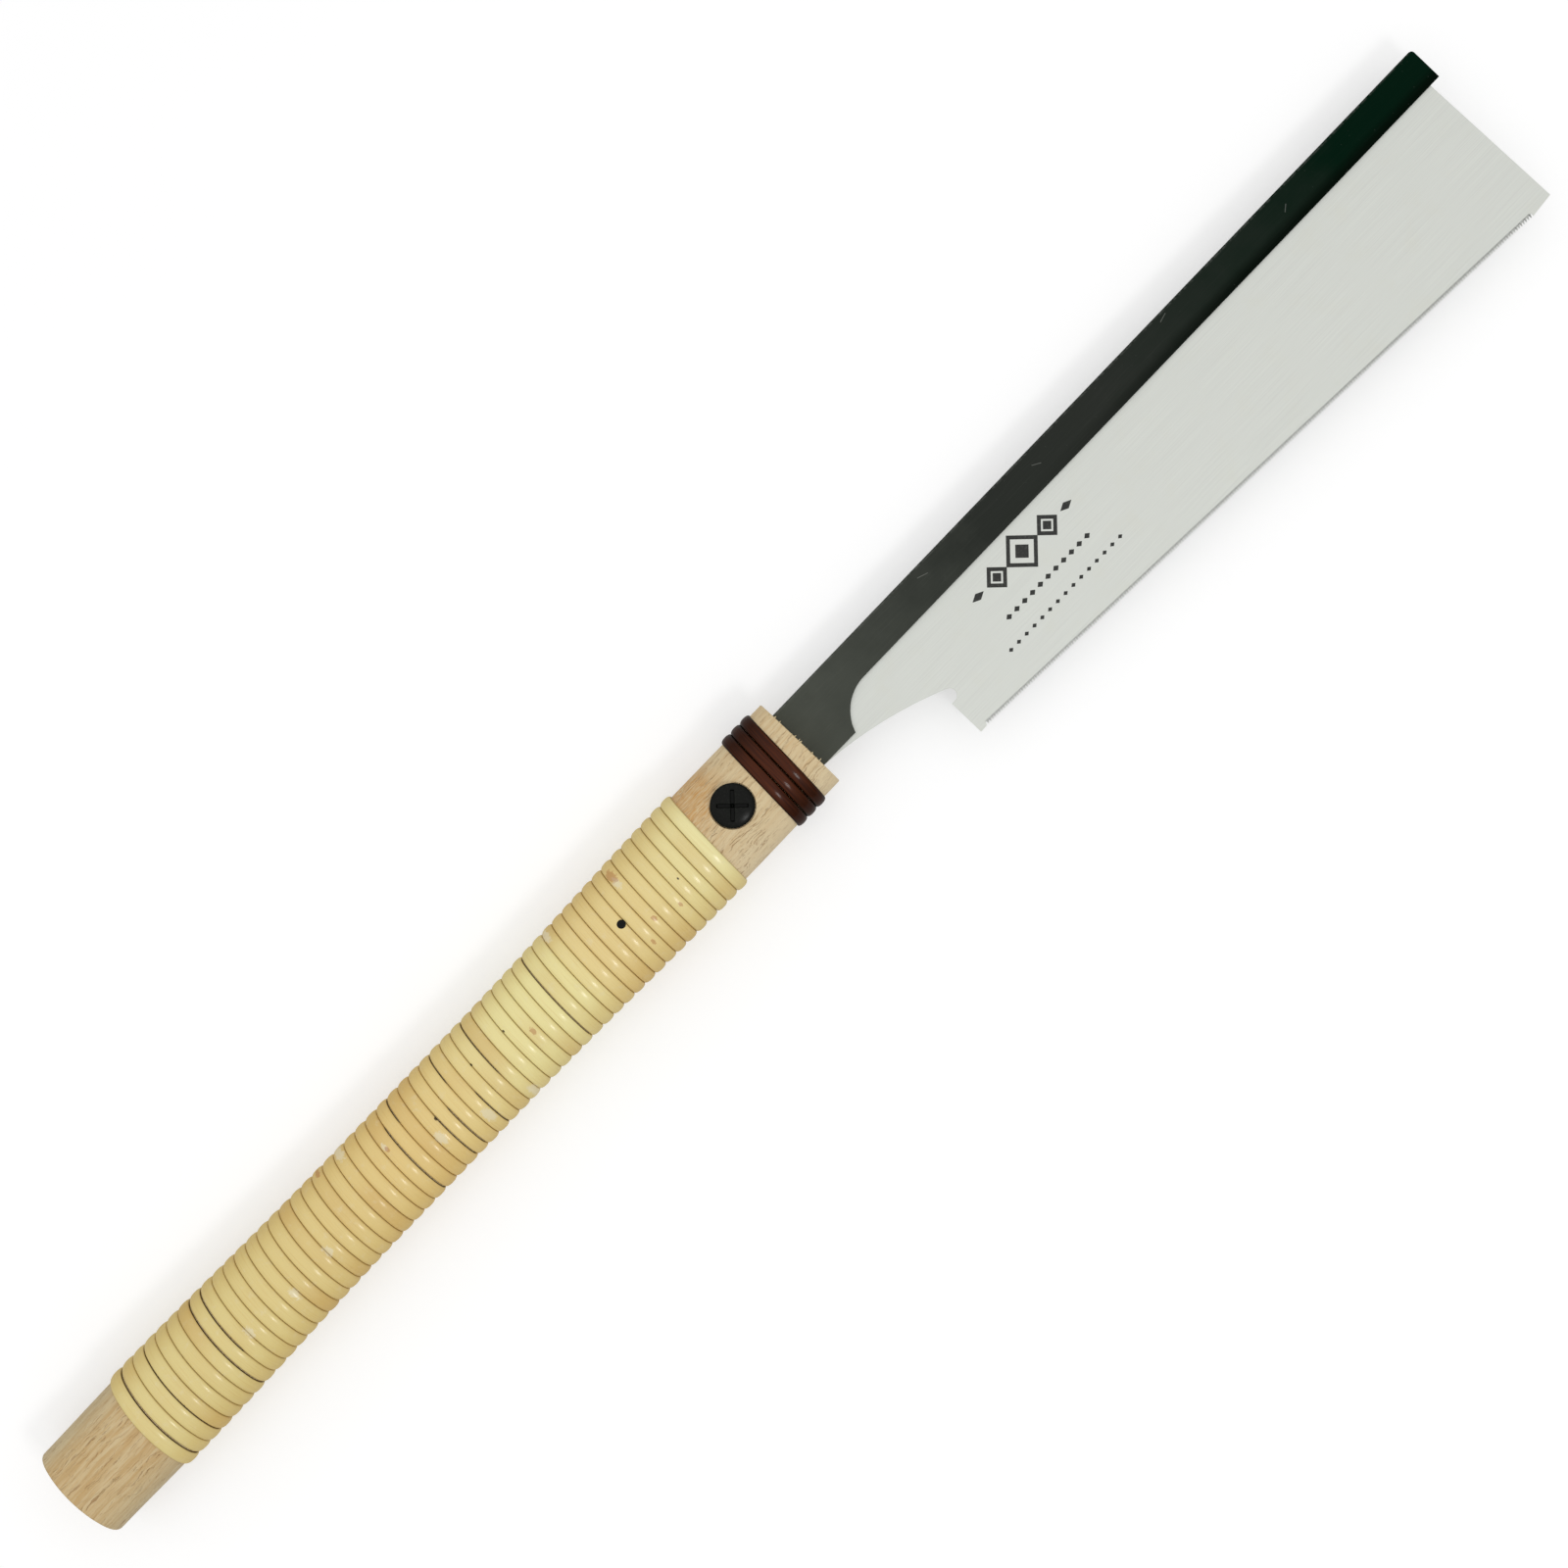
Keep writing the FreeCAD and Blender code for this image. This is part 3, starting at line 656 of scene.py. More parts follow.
@dataclass(frozen=True)
class CaneFinish:
    """Glossy split cane: cream to tan, its tone drifting along the strip."""

    # Brown of the turns' edges: partly the cut edge's own tone, partly painted shade in the seams.
    seam: Rgb = srgb(126, 84, 30)
    # Near-black painted in the open gaps between turns as shade.
    gap_shade: Rgb = srgb(34, 20, 8)
    tan: Rgb = srgb(205, 160, 84)
    chalk: Rgb = srgb(238, 228, 196)
    rust: Rgb = srgb(172, 92, 34)
    pitch: Rgb = srgb(40, 24, 12)
    zones: Tuple[Tuple[float, Rgb], ...] = (
        (0.00, srgb(232, 214, 146)),
        (0.18, srgb(232, 212, 142)),
        (0.31, srgb(233, 209, 139)),
        (0.47, srgb(236, 206, 134)),
        (0.56, srgb(239, 216, 146)),
        (0.60, srgb(242, 226, 158)),
        (0.66, srgb(244, 232, 164)),
        (0.74, srgb(244, 232, 164)),
        (0.79, srgb(238, 213, 145)),
        (0.88, srgb(238, 215, 147)),
        (0.93, srgb(240, 223, 156)),
        (1.00, srgb(245, 235, 172)),
    )
    # Darker tan painted on the narrow sides as shade.
    painted_side_shade: Rgb = srgb(200, 160, 74)
    chalk_marks: Tuple[Point3, ...] = (
        (-254.5, -3.5, 1.7), (-236.0, -5.0, 1.6), (-219.0, -3.6, 1.6), (-196.0, 15.4, 1.8),
        (-183.2, 6.4, 1.0), (-168.6, -4.6, 1.9), (-153.3, -10.3, 2.0), (-138.2, -15.6, 1.8),
        (-100.5, 15.6, 1.6), (-72.4, 10.9, 1.5),
    )
    rust_marks: Tuple[Point3, ...] = (
        (-183.0, 5.0, 0.8), (-124.0, -2.1, 1.1), (-77.6, -10.2, 0.8), (-72.2, 13.6, 1.9),
        (-63.1, -8.1, 0.7), (-72.0, -5.0, 1.0), (-205.5, 15.8, 1.0),
    )
    pitch_marks: Tuple[Point3, ...] = (
        (-285.5, -4.6, 0.45), (-165.4, 0.8, 0.6), (-57.7, -1.9, 0.45), (-145.4, 4.5, 0.5),
        (-130.7, 4.5, 0.5),
    )

    def build(self, effects: Effects) -> bpy.types.Material:
        """Builds the material.

        Args:
            effects: The shared shader groups.

        Returns:
            The material.
        """
        finish = Finish("cane_pale", effects)
        graph = finish.graph
        turn = finish.attribute("turn")
        across = finish.attribute("across")
        strip = graph.node("ShaderNodeCombineXYZ")
        graph.feed(strip.inputs[0], graph.math("MULTIPLY", turn, 1.0))
        graph.feed(strip.inputs[1], across)
        colour = graph.ramp(finish.attribute("share"), self.zones)
        drift = graph.noise(graph.vector("MULTIPLY", strip.outputs[0], (1.0, 0.0, 0.0)), 1.7, 2.0)
        colour = graph.mix(graph.math("MULTIPLY", graph.band(drift, 0.46, 0.7), 0.5), colour,
                           self.tan)
        fibres = graph.noise(graph.vector("MULTIPLY", strip.outputs[0], (5.0, 7.0, 0.0)), 1.0,
                             5.0, 0.65)
        streak = graph.math("MULTIPLY", graph.band(fibres, 0.48, 0.78), 0.35)
        colour = graph.mix(streak, colour, self.tan)
        blotch = graph.noise(finish.place, 0.35, 4.0, 0.6)
        colour = graph.mix(graph.math("MULTIPLY", graph.band(blotch, 0.55, 0.75), 0.22), colour,
                           self.chalk)
        # The turns' edges turn brown: partly the cut edge's own tone, partly painted shade in the
        # seams between turns.
        edge = graph.math("ABSOLUTE", across)
        colour = graph.mix(graph.math("MULTIPLY", graph.band(edge, 0.86, 0.995), 0.5), colour,
                           self.seam)
        # Painted shade: near-black where neighbouring turns stand apart.
        colour = graph.mix(graph.band(finish.attribute("open"), 0.2, 0.8), colour, self.gap_shade)
        # Painted shade: darker tan towards the narrow sides.
        colour = graph.mix(finish.painted_side_shade(9.0, 18.5, 0.34), colour, self.painted_side_shade)
        marks = (
            [Blemish(x, y, size * 1.25, self.chalk, 0.6, 1.9) for x, y, size in self.chalk_marks]
            + [Blemish(x, y, size * 1.2, self.rust, 0.5, 1.6) for x, y, size in self.rust_marks]
            + [Blemish(x, y, size, self.pitch, 0.9, 0.3) for x, y, size in self.pitch_marks])
        for mark in marks:
            mask = graph.group(effects.spot, Place=finish.place, Centre=(mark.x, mark.y, 0.0),
                               Radius=mark.radius, Ragged=mark.ragged).outputs["Mask"]
            colour = graph.mix(graph.math("MULTIPLY", mask, mark.strength), colour, mark.colour)
        normal = finish.bump(fibres, 0.05)
        rough = graph.math("MULTIPLY_ADD", blotch, 0.25, 0.35)
        finish.gloss(0.85)
        return finish.close(colour, rough, normal, Specular_IOR_Level=0.1, Coat_Roughness=0.2)


@dataclass(frozen=True)
class DarkCaneFinish:
    """Dark chocolate cane under a gloss lacquer, with painted shade at each turn's edges and
    towards the narrow sides.
    """

    deep: Rgb = srgb(56, 19, 2)
    brown: Rgb = srgb(86, 37, 7)
    # Near-black used only as painted shade.
    black: Rgb = srgb(18, 7, 1)

    def build(self, effects: Effects) -> bpy.types.Material:
        """Builds the material.

        Args:
            effects: The shared shader groups.

        Returns:
            The material.
        """
        finish = Finish("cane_dark", effects)
        graph = finish.graph
        strip = graph.node("ShaderNodeCombineXYZ")
        graph.feed(strip.inputs[0], finish.attribute("turn"))
        graph.feed(strip.inputs[1], finish.attribute("across"))
        fibres = graph.noise(graph.vector("MULTIPLY", strip.outputs[0], (6.0, 6.0, 0.0)), 1.0,
                             5.0, 0.6)
        colour = graph.mix(graph.band(fibres, 0.35, 0.7), self.deep, self.brown)
        # Painted shade: each turn darkens to black towards its edges, and the whole towards the
        # narrow sides.
        edge = graph.math("ABSOLUTE", finish.attribute("across"))
        colour = graph.mix(graph.band(edge, 0.70, 0.98), colour, self.black)
        colour = graph.mix(finish.painted_side_shade(3.0, 17.0, 0.6), colour, self.black)
        normal = finish.bump(fibres, 0.05)
        rough = graph.math("MULTIPLY_ADD", fibres, 0.2, 0.2)
        finish.gloss(0.26)
        return finish.close(colour, rough, normal, Specular_IOR_Level=0.04, Coat_Roughness=0.14)


@dataclass(frozen=True)
class BlackSteelFinish:
    """Blackened satin steel, charcoal at the handle fading to green-black at the tip, the fade
    partly its bluing and partly a painted reflection, with painted shade along the lower lip.
    """

    # Charcoal to green-black along the back: partly the bluing's tone, partly a painted reflection
    # that is brightest near the handle.
    root: Rgb = srgb(79, 82, 75)
    middle: Rgb = srgb(45, 48, 44)
    tip: Rgb = srgb(2, 27, 15)
    bare: Rgb = srgb(150, 152, 146)
    reach: float = 300.0
    # Near-black painted along the lower lip, by the teeth, as shade.
    lip: Rgb = srgb(1, 7, 2)
    lip_shade_band: Point2 = (5.0, 0.6)
    lip_shade_rise: Point2 = (0.30, 0.72)
    lip_shade_depth: float = 0.85
    scratch_depth: float = 0.34
    scratches: Tuple[Tuple[Point2, Point2], ...] = (
        ((64.0, 9.4), (3.4, -1.2)),
        ((118.0, 6.4), (-2.6, 1.5)),
        ((177.0, 10.0), (3.0, 0.8)),
        ((232.0, 7.2), (-2.0, -1.6)),
    )

    def build(self, effects: Effects) -> bpy.types.Material:
        """Builds the material.

        Args:
            effects: The shared shader groups.

        Returns:
            The material.
        """
        finish = Finish("steel_black", effects)
        graph = finish.graph
        share = graph.math("DIVIDE", finish.along(), self.reach)
        dust = graph.group(effects.dust, Place=finish.place)
        wander = graph.math("MULTIPLY_ADD", dust.outputs["Mottle"], 0.16, share)
        # Painted reflection, partly: the back is lighter near the handle and darkens towards the
        # tip, over the bluing's own tone.
        colour = graph.ramp(graph.math("SUBTRACT", wander, 0.08),
                            ((0.0, self.root), (0.30, self.middle), (0.48, self.middle),
                             (0.86, self.tip)))
        # Painted shade: near-black along the lower edge, growing towards the tip.
        lip = graph.math("MULTIPLY", graph.band(finish.axis(1), *self.lip_shade_band),
                         graph.band(share, *self.lip_shade_rise))
        colour = graph.mix(graph.math("MULTIPLY", lip, self.lip_shade_depth), colour, self.lip)
        lines = graph.group(effects.hairlines, Place=finish.place, Stretch=(0.05, 4.0, 4.0))
        faint = graph.math("MULTIPLY", graph.band(lines.outputs["Value"], 0.5, 0.8),
                           graph.math("MULTIPLY_ADD", share, -0.05, 0.055))
        colour = graph.mix(faint, colour, self.bare)
        colour = graph.mix(graph.math("MULTIPLY", dust.outputs["Speck"], 0.07), colour, self.bare)
        for start, run in self.scratches:
            mask = graph.group(effects.stroke, Place=finish.place, Start=(*start, 0.0),
                               Run=(*run, 0.0), Width=0.18).outputs["Mask"]
            colour = graph.mix(graph.math("MULTIPLY", mask, self.scratch_depth), colour, self.bare)
        wear_and_highlight = graph.group(effects.wear_and_highlight, Place=finish.place, Amount=0.12).outputs["Mask"]
        colour = graph.mix(wear_and_highlight, colour, self.bare)
        normal = finish.bump(lines.outputs["Value"], 0.012)
        rough = graph.math("MULTIPLY_ADD", dust.outputs["Mottle"], 0.2, 0.42)
        return finish.close(colour, rough, normal, Specular_IOR_Level=0.02)


@dataclass(frozen=True)
class BladeFinish:
    """Satin ground blade steel, pale and even, with very fine lines along its length."""

    steel: Rgb = srgb(223, 226, 219)
    shade: Rgb = srgb(212, 214, 208)
    warm: Rgb = srgb(217, 218, 207)
    # Dark grey painted on the filed facets as shade.
    facet: Rgb = srgb(50, 52, 46)
    facet_lean: float = 0.12

    def _facet_shade(self, finish: Finish, plate: "Plate") -> bpy.types.NodeSocket:
        """Gives the mask of painted shade on the filed facets, which alternate with the teeth's
        set.
        """
        graph = finish.graph
        start, run = plate.tooth_line()
        along = run.normalized()
        offset = graph.vector("SUBTRACT", finish.place, (start.x, start.y, 0.0))
        travel = graph.vector("DOT_PRODUCT", offset, (along.x, along.y, 0.0), result=1)
        depth = graph.vector("DOT_PRODUCT", offset, (-along.y, along.x, 0.0), result=1)
        count = graph.math("DIVIDE", travel, run.length / plate.teeth)
        lean = graph.math("MULTIPLY_ADD", depth, -self.facet_lean, count)
        steep = graph.math("GREATER_THAN", graph.math("FRACT", lean), plate.root - 0.60)
        turned = graph.math("GREATER_THAN", graph.math("FRACT", graph.math("MULTIPLY", lean, 0.5)),
                            0.5)
        strength = graph.math("MULTIPLY_ADD", turned, 0.3, 0.65)
        shallow = graph.band(depth, plate.gullet * 1.12, plate.gullet * 0.84)
        inside = graph.math("MULTIPLY", graph.math("GREATER_THAN", travel, 0.5),
                            graph.math("LESS_THAN", travel, run.length - 0.5))
        return graph.math("MULTIPLY", graph.math("MULTIPLY", steep, strength),
                          graph.math("MULTIPLY", shallow, inside))

    def build(self, effects: Effects, plate: "Plate") -> bpy.types.Material:
        """Builds the material.

        Args:
            effects: The shared shader groups.
            plate: The plate that it is for, which places the teeth's facets.

        Returns:
            The material.
        """
        finish = Finish("steel_ground", effects)
        graph = finish.graph
        lines = graph.group(effects.hairlines, Place=finish.place, Stretch=(0.03, 7.0, 7.0))
        dust = graph.group(effects.dust, Place=finish.place)
        colour = graph.mix(graph.band(lines.outputs["Value"], 0.3, 0.75), self.steel, self.shade)
        colour = graph.mix(graph.math("MULTIPLY", graph.band(dust.outputs["Mottle"], 0.5, 0.75),
                                      0.35), colour, self.warm)
        colour = graph.mix(graph.math("MULTIPLY", lines.outputs["Long"], 0.3), colour, self.shade)
        # Painted shade: the filed facets of the teeth darkened.
        colour = graph.mix(self._facet_shade(finish, plate), colour, self.facet)
        normal = finish.bump(lines.outputs["Value"], 0.004)
        rough = graph.math("MULTIPLY_ADD", lines.outputs["Value"], 0.14, 0.34)
        return finish.close(colour, rough, normal, Metallic=0.3)


@dataclass(frozen=True)
class HardwareFinish:
    """Black oxide on steel, semi-gloss, rubbed at the edges, the lighter edges partly a painted
    highlight.
    """

    name: str = "steel_oxide"
    black: Rgb = srgb(13, 14, 11)
    worn_and_highlight: Rgb = srgb(50, 52, 46)
    # Near-black painted in the cross recess as shade.
    recess_shade: Rgb = srgb(2, 3, 1)
    gloss: float = 0.2
    recess: float = 0.0

    def build(self, effects: Effects) -> bpy.types.Material:
        """Builds the material.

        Args:
            effects: The shared shader groups.

        Returns:
            The material.
        """
        finish = Finish(self.name, effects)
        graph = finish.graph
        grit = graph.noise(finish.place, 1.6, 5.0, 0.6)
        colour = graph.mix(graph.math("MULTIPLY", graph.band(grit, 0.45, 0.8), 0.25), self.black,
                           self.worn_and_highlight)
        # Lighter edges: partly rubbed oxide, partly a painted highlight where the edges catch the
        # light.
        wear_and_highlight = graph.group(effects.wear_and_highlight, Place=finish.place, Amount=0.7).outputs["Mask"]
        colour = graph.mix(wear_and_highlight, colour, self.worn_and_highlight)
        x, y = Fixings().screw
        reach = self.recess * math.sqrt(0.5)
        # Painted shade: the arms of the cross recess are darkened to near-black.
        for side in (1.0, -1.0) if self.recess else ():
            mask = graph.group(effects.stroke, Place=finish.place,
                               Start=(x - reach, y - side * reach, 0.0),
                               Run=(2 * reach + MM, 2 * side * reach, 0.0),
                               Width=0.95).outputs["Mask"]
            colour = graph.mix(mask, colour, self.recess_shade)
        normal = finish.bump(grit, 0.02)
        rough = graph.math("MULTIPLY_ADD", grit, 0.22, self.gloss)
        finish.gloss(0.16)
        return finish.close(colour, rough, normal, Specular_IOR_Level=0.05, Coat_Roughness=0.22)


@dataclass(frozen=True)
class PrintFinish:
    """Matt black printing ink, a little thin in places."""

    ink: Rgb = srgb(24, 26, 22)
    thin: Rgb = srgb(58, 60, 54)

    def build(self, effects: Effects) -> bpy.types.Material:
        """Builds the material.

        Args:
            effects: The shared shader groups.

        Returns:
            The material.
        """
        finish = Finish("ink_black", effects)
        graph = finish.graph
        grit = graph.noise(finish.place, 1.4, 4.0, 0.6)
        colour = graph.mix(graph.band(grit, 0.45, 0.75), self.ink, self.thin)
        return finish.close(colour, graph.math("MULTIPLY_ADD", grit, 0.2, 0.45),
                            finish.bump(grit, 0.01))


@dataclass(frozen=True)
class PaperFinish:
    """The plain pale studio floor, which throws little light back up on the saw."""

    white: Rgb = (0.66, 0.66, 0.66)
    bounce: Rgb = (0.16, 0.16, 0.16)

    def build(self, effects: Effects) -> bpy.types.Material:
        """Builds the material.

        Args:
            effects: The shared shader groups.

        Returns:
            The material.
        """
        finish = Finish("paper_white", effects)
        graph = finish.graph
        tooth = graph.noise(finish.place, 0.02, 2.0)
        colour = graph.mix(graph.math("MULTIPLY", tooth, 0.02), self.white, (1.0, 1.0, 1.0))
        seen = graph.node("ShaderNodeLightPath").outputs["Is Camera Ray"]
        graph.feed(finish.shader.inputs["Emission Color"], graph.mix(seen, self.bounce, colour))
        below = graph.node("ShaderNodeNewGeometry").outputs["Backfacing"]
        graph.feed(finish.shader.inputs["Alpha"], graph.math("SUBTRACT", 1.0, below))
        return finish.close(colour, 0.9, finish.bump(tooth, 0.01), Specular_IOR_Level=0.1,
                            Emission_Strength=0.65)


# ---------------------------------------------------------------- meshes


class Draft:
    """A mesh in the making, in millimetres in the handle's frame."""

    def __init__(self) -> None:
        """Starts empty."""
        self.points: List[Tuple[float, float, float]] = []
        self.faces: List[Tuple[int, ...]] = []
        self.values: Dict[str, List[float]] = {}

    def add_ring(self, ring: Sequence[Vector], **values: Sequence[float]) -> List[int]:
        """Adds a ring of points.

        Args:
            ring: The points.
            **values: For each attribute, one value per point.

        Returns:
            The points' numbers.
        """
        start = len(self.points)
        self.points.extend(tuple(point) for point in ring)
        for name, numbers in values.items():
            self.values.setdefault(name, []).extend(numbers)
        return list(range(start, start + len(ring)))

    def skin(self, first: Sequence[int], second: Sequence[int]) -> None:
        """Joins two closed rings of equal length with quads.

        Args:
            first: One ring.
            second: The next ring.
        """
        count = len(first)
        for index in range(count):
            after = (index + 1) % count
            self.faces.append((first[index], first[after], second[after], second[index]))

    def cap(self, ring: Sequence[int], backwards: bool = False) -> None:
        """Closes a ring with one face.

        Args:
            ring: The ring.
            backwards: Whether the face looks the other way.
        """
        self.faces.append(tuple(reversed(ring)) if backwards else tuple(ring))

    def build(self, name: str, smooth_angle: float = 35.0) -> bpy.types.Object:
        """Makes the object, with its origin at the handle's frame.

        Args:
            name: The object's name.
            smooth_angle: Edges sharper than this, in degrees, stay sharp.

        Returns:
            The object.
        """
        mesh = bpy.data.meshes.new(name)
        mesh.from_pydata([tuple(part * MM for part in point) for point in self.points], [],
                         self.faces)
        for label, numbers in self.values.items():
            layer = mesh.attributes.new(label, "FLOAT", "POINT")
            layer.data.foreach_set("value", numbers)
        mesh.validate()
        crease(mesh, smooth_angle)
        made = bpy.data.objects.new(name, mesh)
        bpy.context.scene.collection.objects.link(made)
        made.location = HandleSeat.read().origin
        return made


def crease(mesh: bpy.types.Mesh, angle: float) -> None:
    """Shades a mesh smooth, but keeps keen edges and the rims of its flats sharp.

    Args:
        mesh: The mesh.
        angle: Edges sharper than this, in degrees, stay sharp.
    """
    mesh.shade_smooth()
    mesh.set_sharp_from_angle(angle=math.radians(angle))
    for face in mesh.polygons:
        if abs(face.normal.z) > 0.99999 or len(face.vertices) > 12:
            for loop in face.loop_indices:
                mesh.edges[mesh.loops[loop].edge_index].use_edge_sharp = True


@dataclass(frozen=True)
class HandleSeat:
    """Where the handle's frame lies in the row frame."""

    origin: Vector

    @classmethod
    def read(cls) -> "HandleSeat":
        """Finds the seat from the CAD wood, which is even about the handle's axis.

        Returns:
            The seat.
        """
        low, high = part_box(Part.WOOD.value)
        return cls(Vector((high.x, (low.y + high.y) / 2, (low.z + high.z) / 2)))


class Carver:
    """Cuts a piece with other meshes."""

    @staticmethod
    def carve(target: bpy.types.Object, cutters: Sequence[bpy.types.Object]) -> None:
        """Takes the cutters out of the target, then removes them.

        Args:
            target: The piece to cut.
            cutters: The meshes to take out of it.
        """
        for cutter in cutters:
            step = target.modifiers.new("cut", "BOOLEAN")
            step.operation = "DIFFERENCE"
            step.solver = "EXACT"
            step.object = cutter
        bpy.context.view_layer.update()
        graph = bpy.context.evaluated_depsgraph_get()
        cut = bpy.data.meshes.new_from_object(target.evaluated_get(graph))
        target.modifiers.clear()
        old = target.data
        target.data = cut
        bpy.data.meshes.remove(old)
        crease(cut, 32.0)
        for cutter in cutters:
            mesh = cutter.data
            bpy.data.objects.remove(cutter)
            bpy.data.meshes.remove(mesh)


class Turned:
    """Round pieces about an upright axis."""

    @staticmethod
    def draft(profile: Sequence[Point2], centre: Point2, steps: int = 96,
              draft: Optional[Draft] = None) -> Draft:
        """Turns a profile of radius against height, from bottom to top, into a closed solid.

        Args:
            profile: Radii and heights, going round the solid; ends on the axis become caps.
            centre: X and Y of the axis.
            steps: Points round a circle.
            draft: A draft to add to.

        Returns:
            The draft.
        """
        draft = draft or Draft()
        rings = []
        for radius, height in profile:
            ring = []
            for step in range(steps):
                angle = 2 * math.pi * step / steps
                ring.append(Vector((centre[0] + radius * math.cos(angle),
                                    centre[1] + radius * math.sin(angle), height)))
            rings.append(draft.add_ring(ring))
        for first, second in zip(rings, rings[1:]):
            draft.skin(first, second)
        draft.cap(rings[0], backwards=True)
        draft.cap(rings[-1])
        return draft


def block(name: str, low: Tuple[float, float, float],
          high: Tuple[float, float, float]) -> bpy.types.Object:
    """Makes a plain box to cut with.

    Args:
        name: Its name.
        low: Lowest corner.
        high: Highest corner.

    Returns:
        The object.
    """
    draft = Draft()
    floor = draft.add_ring([Vector((x, y, low[2])) for x, y in (
        (low[0], low[1]), (high[0], low[1]), (high[0], high[1]), (low[0], high[1]))])
    roof = draft.add_ring([Vector((x, y, high[2])) for x, y in (
        (low[0], low[1]), (high[0], low[1]), (high[0], high[1]), (low[0], high[1]))])
    draft.skin(floor, roof)
    draft.cap(floor, backwards=True)
    draft.cap(roof)
    return draft.build(name)


def arc(centre: Point2, radius: float, start: float, end: float, steps: int) -> List[Point2]:
    """Points on an arc.

    Args:
        centre: Its centre.
        radius: Its radius.
        start: First direction, in degrees.
        end: Last direction, in degrees.
        steps: How many stretches.

    Returns:
        The points, both ends included.
    """
    points = []
    for step in range(steps + 1):
        angle = math.radians(start + (end - start) * step / steps)
        points.append((centre[0] + radius * math.cos(angle), centre[1] + radius * math.sin(angle)))
    return points


def arc_through(start: Point2, end: Point2, radius: float, clockwise: bool,
                steps: int) -> List[Point2]:
    """Points on the short arc from one point to another.

    Args:
        start: Where it begins.
        end: Where it ends.
        radius: Its radius.
        clockwise: Whether it turns clockwise.
        steps: How many stretches.

    Returns:
        The points, both ends included.
    """
    half = Vector((end[0] - start[0], end[1] - start[1])) / 2
    reach = math.sqrt(max(radius * radius - half.length_squared, 0.0))
    side = Vector((half.y, -half.x)) if clockwise else Vector((-half.y, half.x))
    centre = Vector(start) + half + side.normalized() * reach
    first = math.degrees(math.atan2(start[1] - centre.y, start[0] - centre.x))
    last = math.degrees(math.atan2(end[1] - centre.y, end[0] - centre.x))
    if clockwise and last > first:
        last -= 360.0
    if not clockwise and last < first:
        last += 360.0
    return arc((centre.x, centre.y), radius, first, last, steps)


class Slab:
    """A flat piece with rounded edges, from an outline that runs counter-clockwise."""

    @staticmethod
    def draft(outline: Sequence[Point2], half: float, bevels: Sequence[float],
              lifts: Optional[Sequence[float]] = None, steps: int = 3) -> Draft:
        """Draws the slab about the middle plane.

        Args:
            outline: Its outline.
            half: Half its thickness.
            bevels: At each corner, how far the edge is rounded.
            lifts: At each corner, how far the edge is bent up.
            steps: Stretches on each rounded edge.

        Returns:
            The draft.
        """
        count = len(outline)
        lifts = lifts or [0.0] * count
        inward = []
        for index in range(count):
            before = Vector(outline[index - 1])
            here = Vector(outline[index])
            after = Vector(outline[(index + 1) % count])
            first = (here - before).normalized()
            second = (after - here).normalized()
            miter = Vector((-first.y - second.y, first.x + second.x))
            size = max(miter.length, 0.3)
            inward.append(miter / size * min(2.0 / size, 2.5))
        rings = []
        levels = [math.pi / 2 * step / steps for step in range(steps + 1)]
        turns = [(-1, level) for level in reversed(levels)] + [(1, level) for level in levels]
        draft = Draft()
        for side, level in turns:
            ring = []
            for index in range(count):
                bevel = bevels[index]
                spot = Vector(outline[index]) + inward[index] * bevel * (1 - math.cos(level))
                height = side * (half - bevel * (1 - math.sin(level)))
                ring.append(Vector((spot.x, spot.y, height + lifts[index])))
            rings.append(draft.add_ring(ring))
        for first_ring, second_ring in zip(rings, rings[1:]):
            draft.skin(first_ring, second_ring)
        draft.cap(rings[0], backwards=True)
        draft.cap(rings[-1])
        return draft


# ---------------------------------------------------------------- the handle


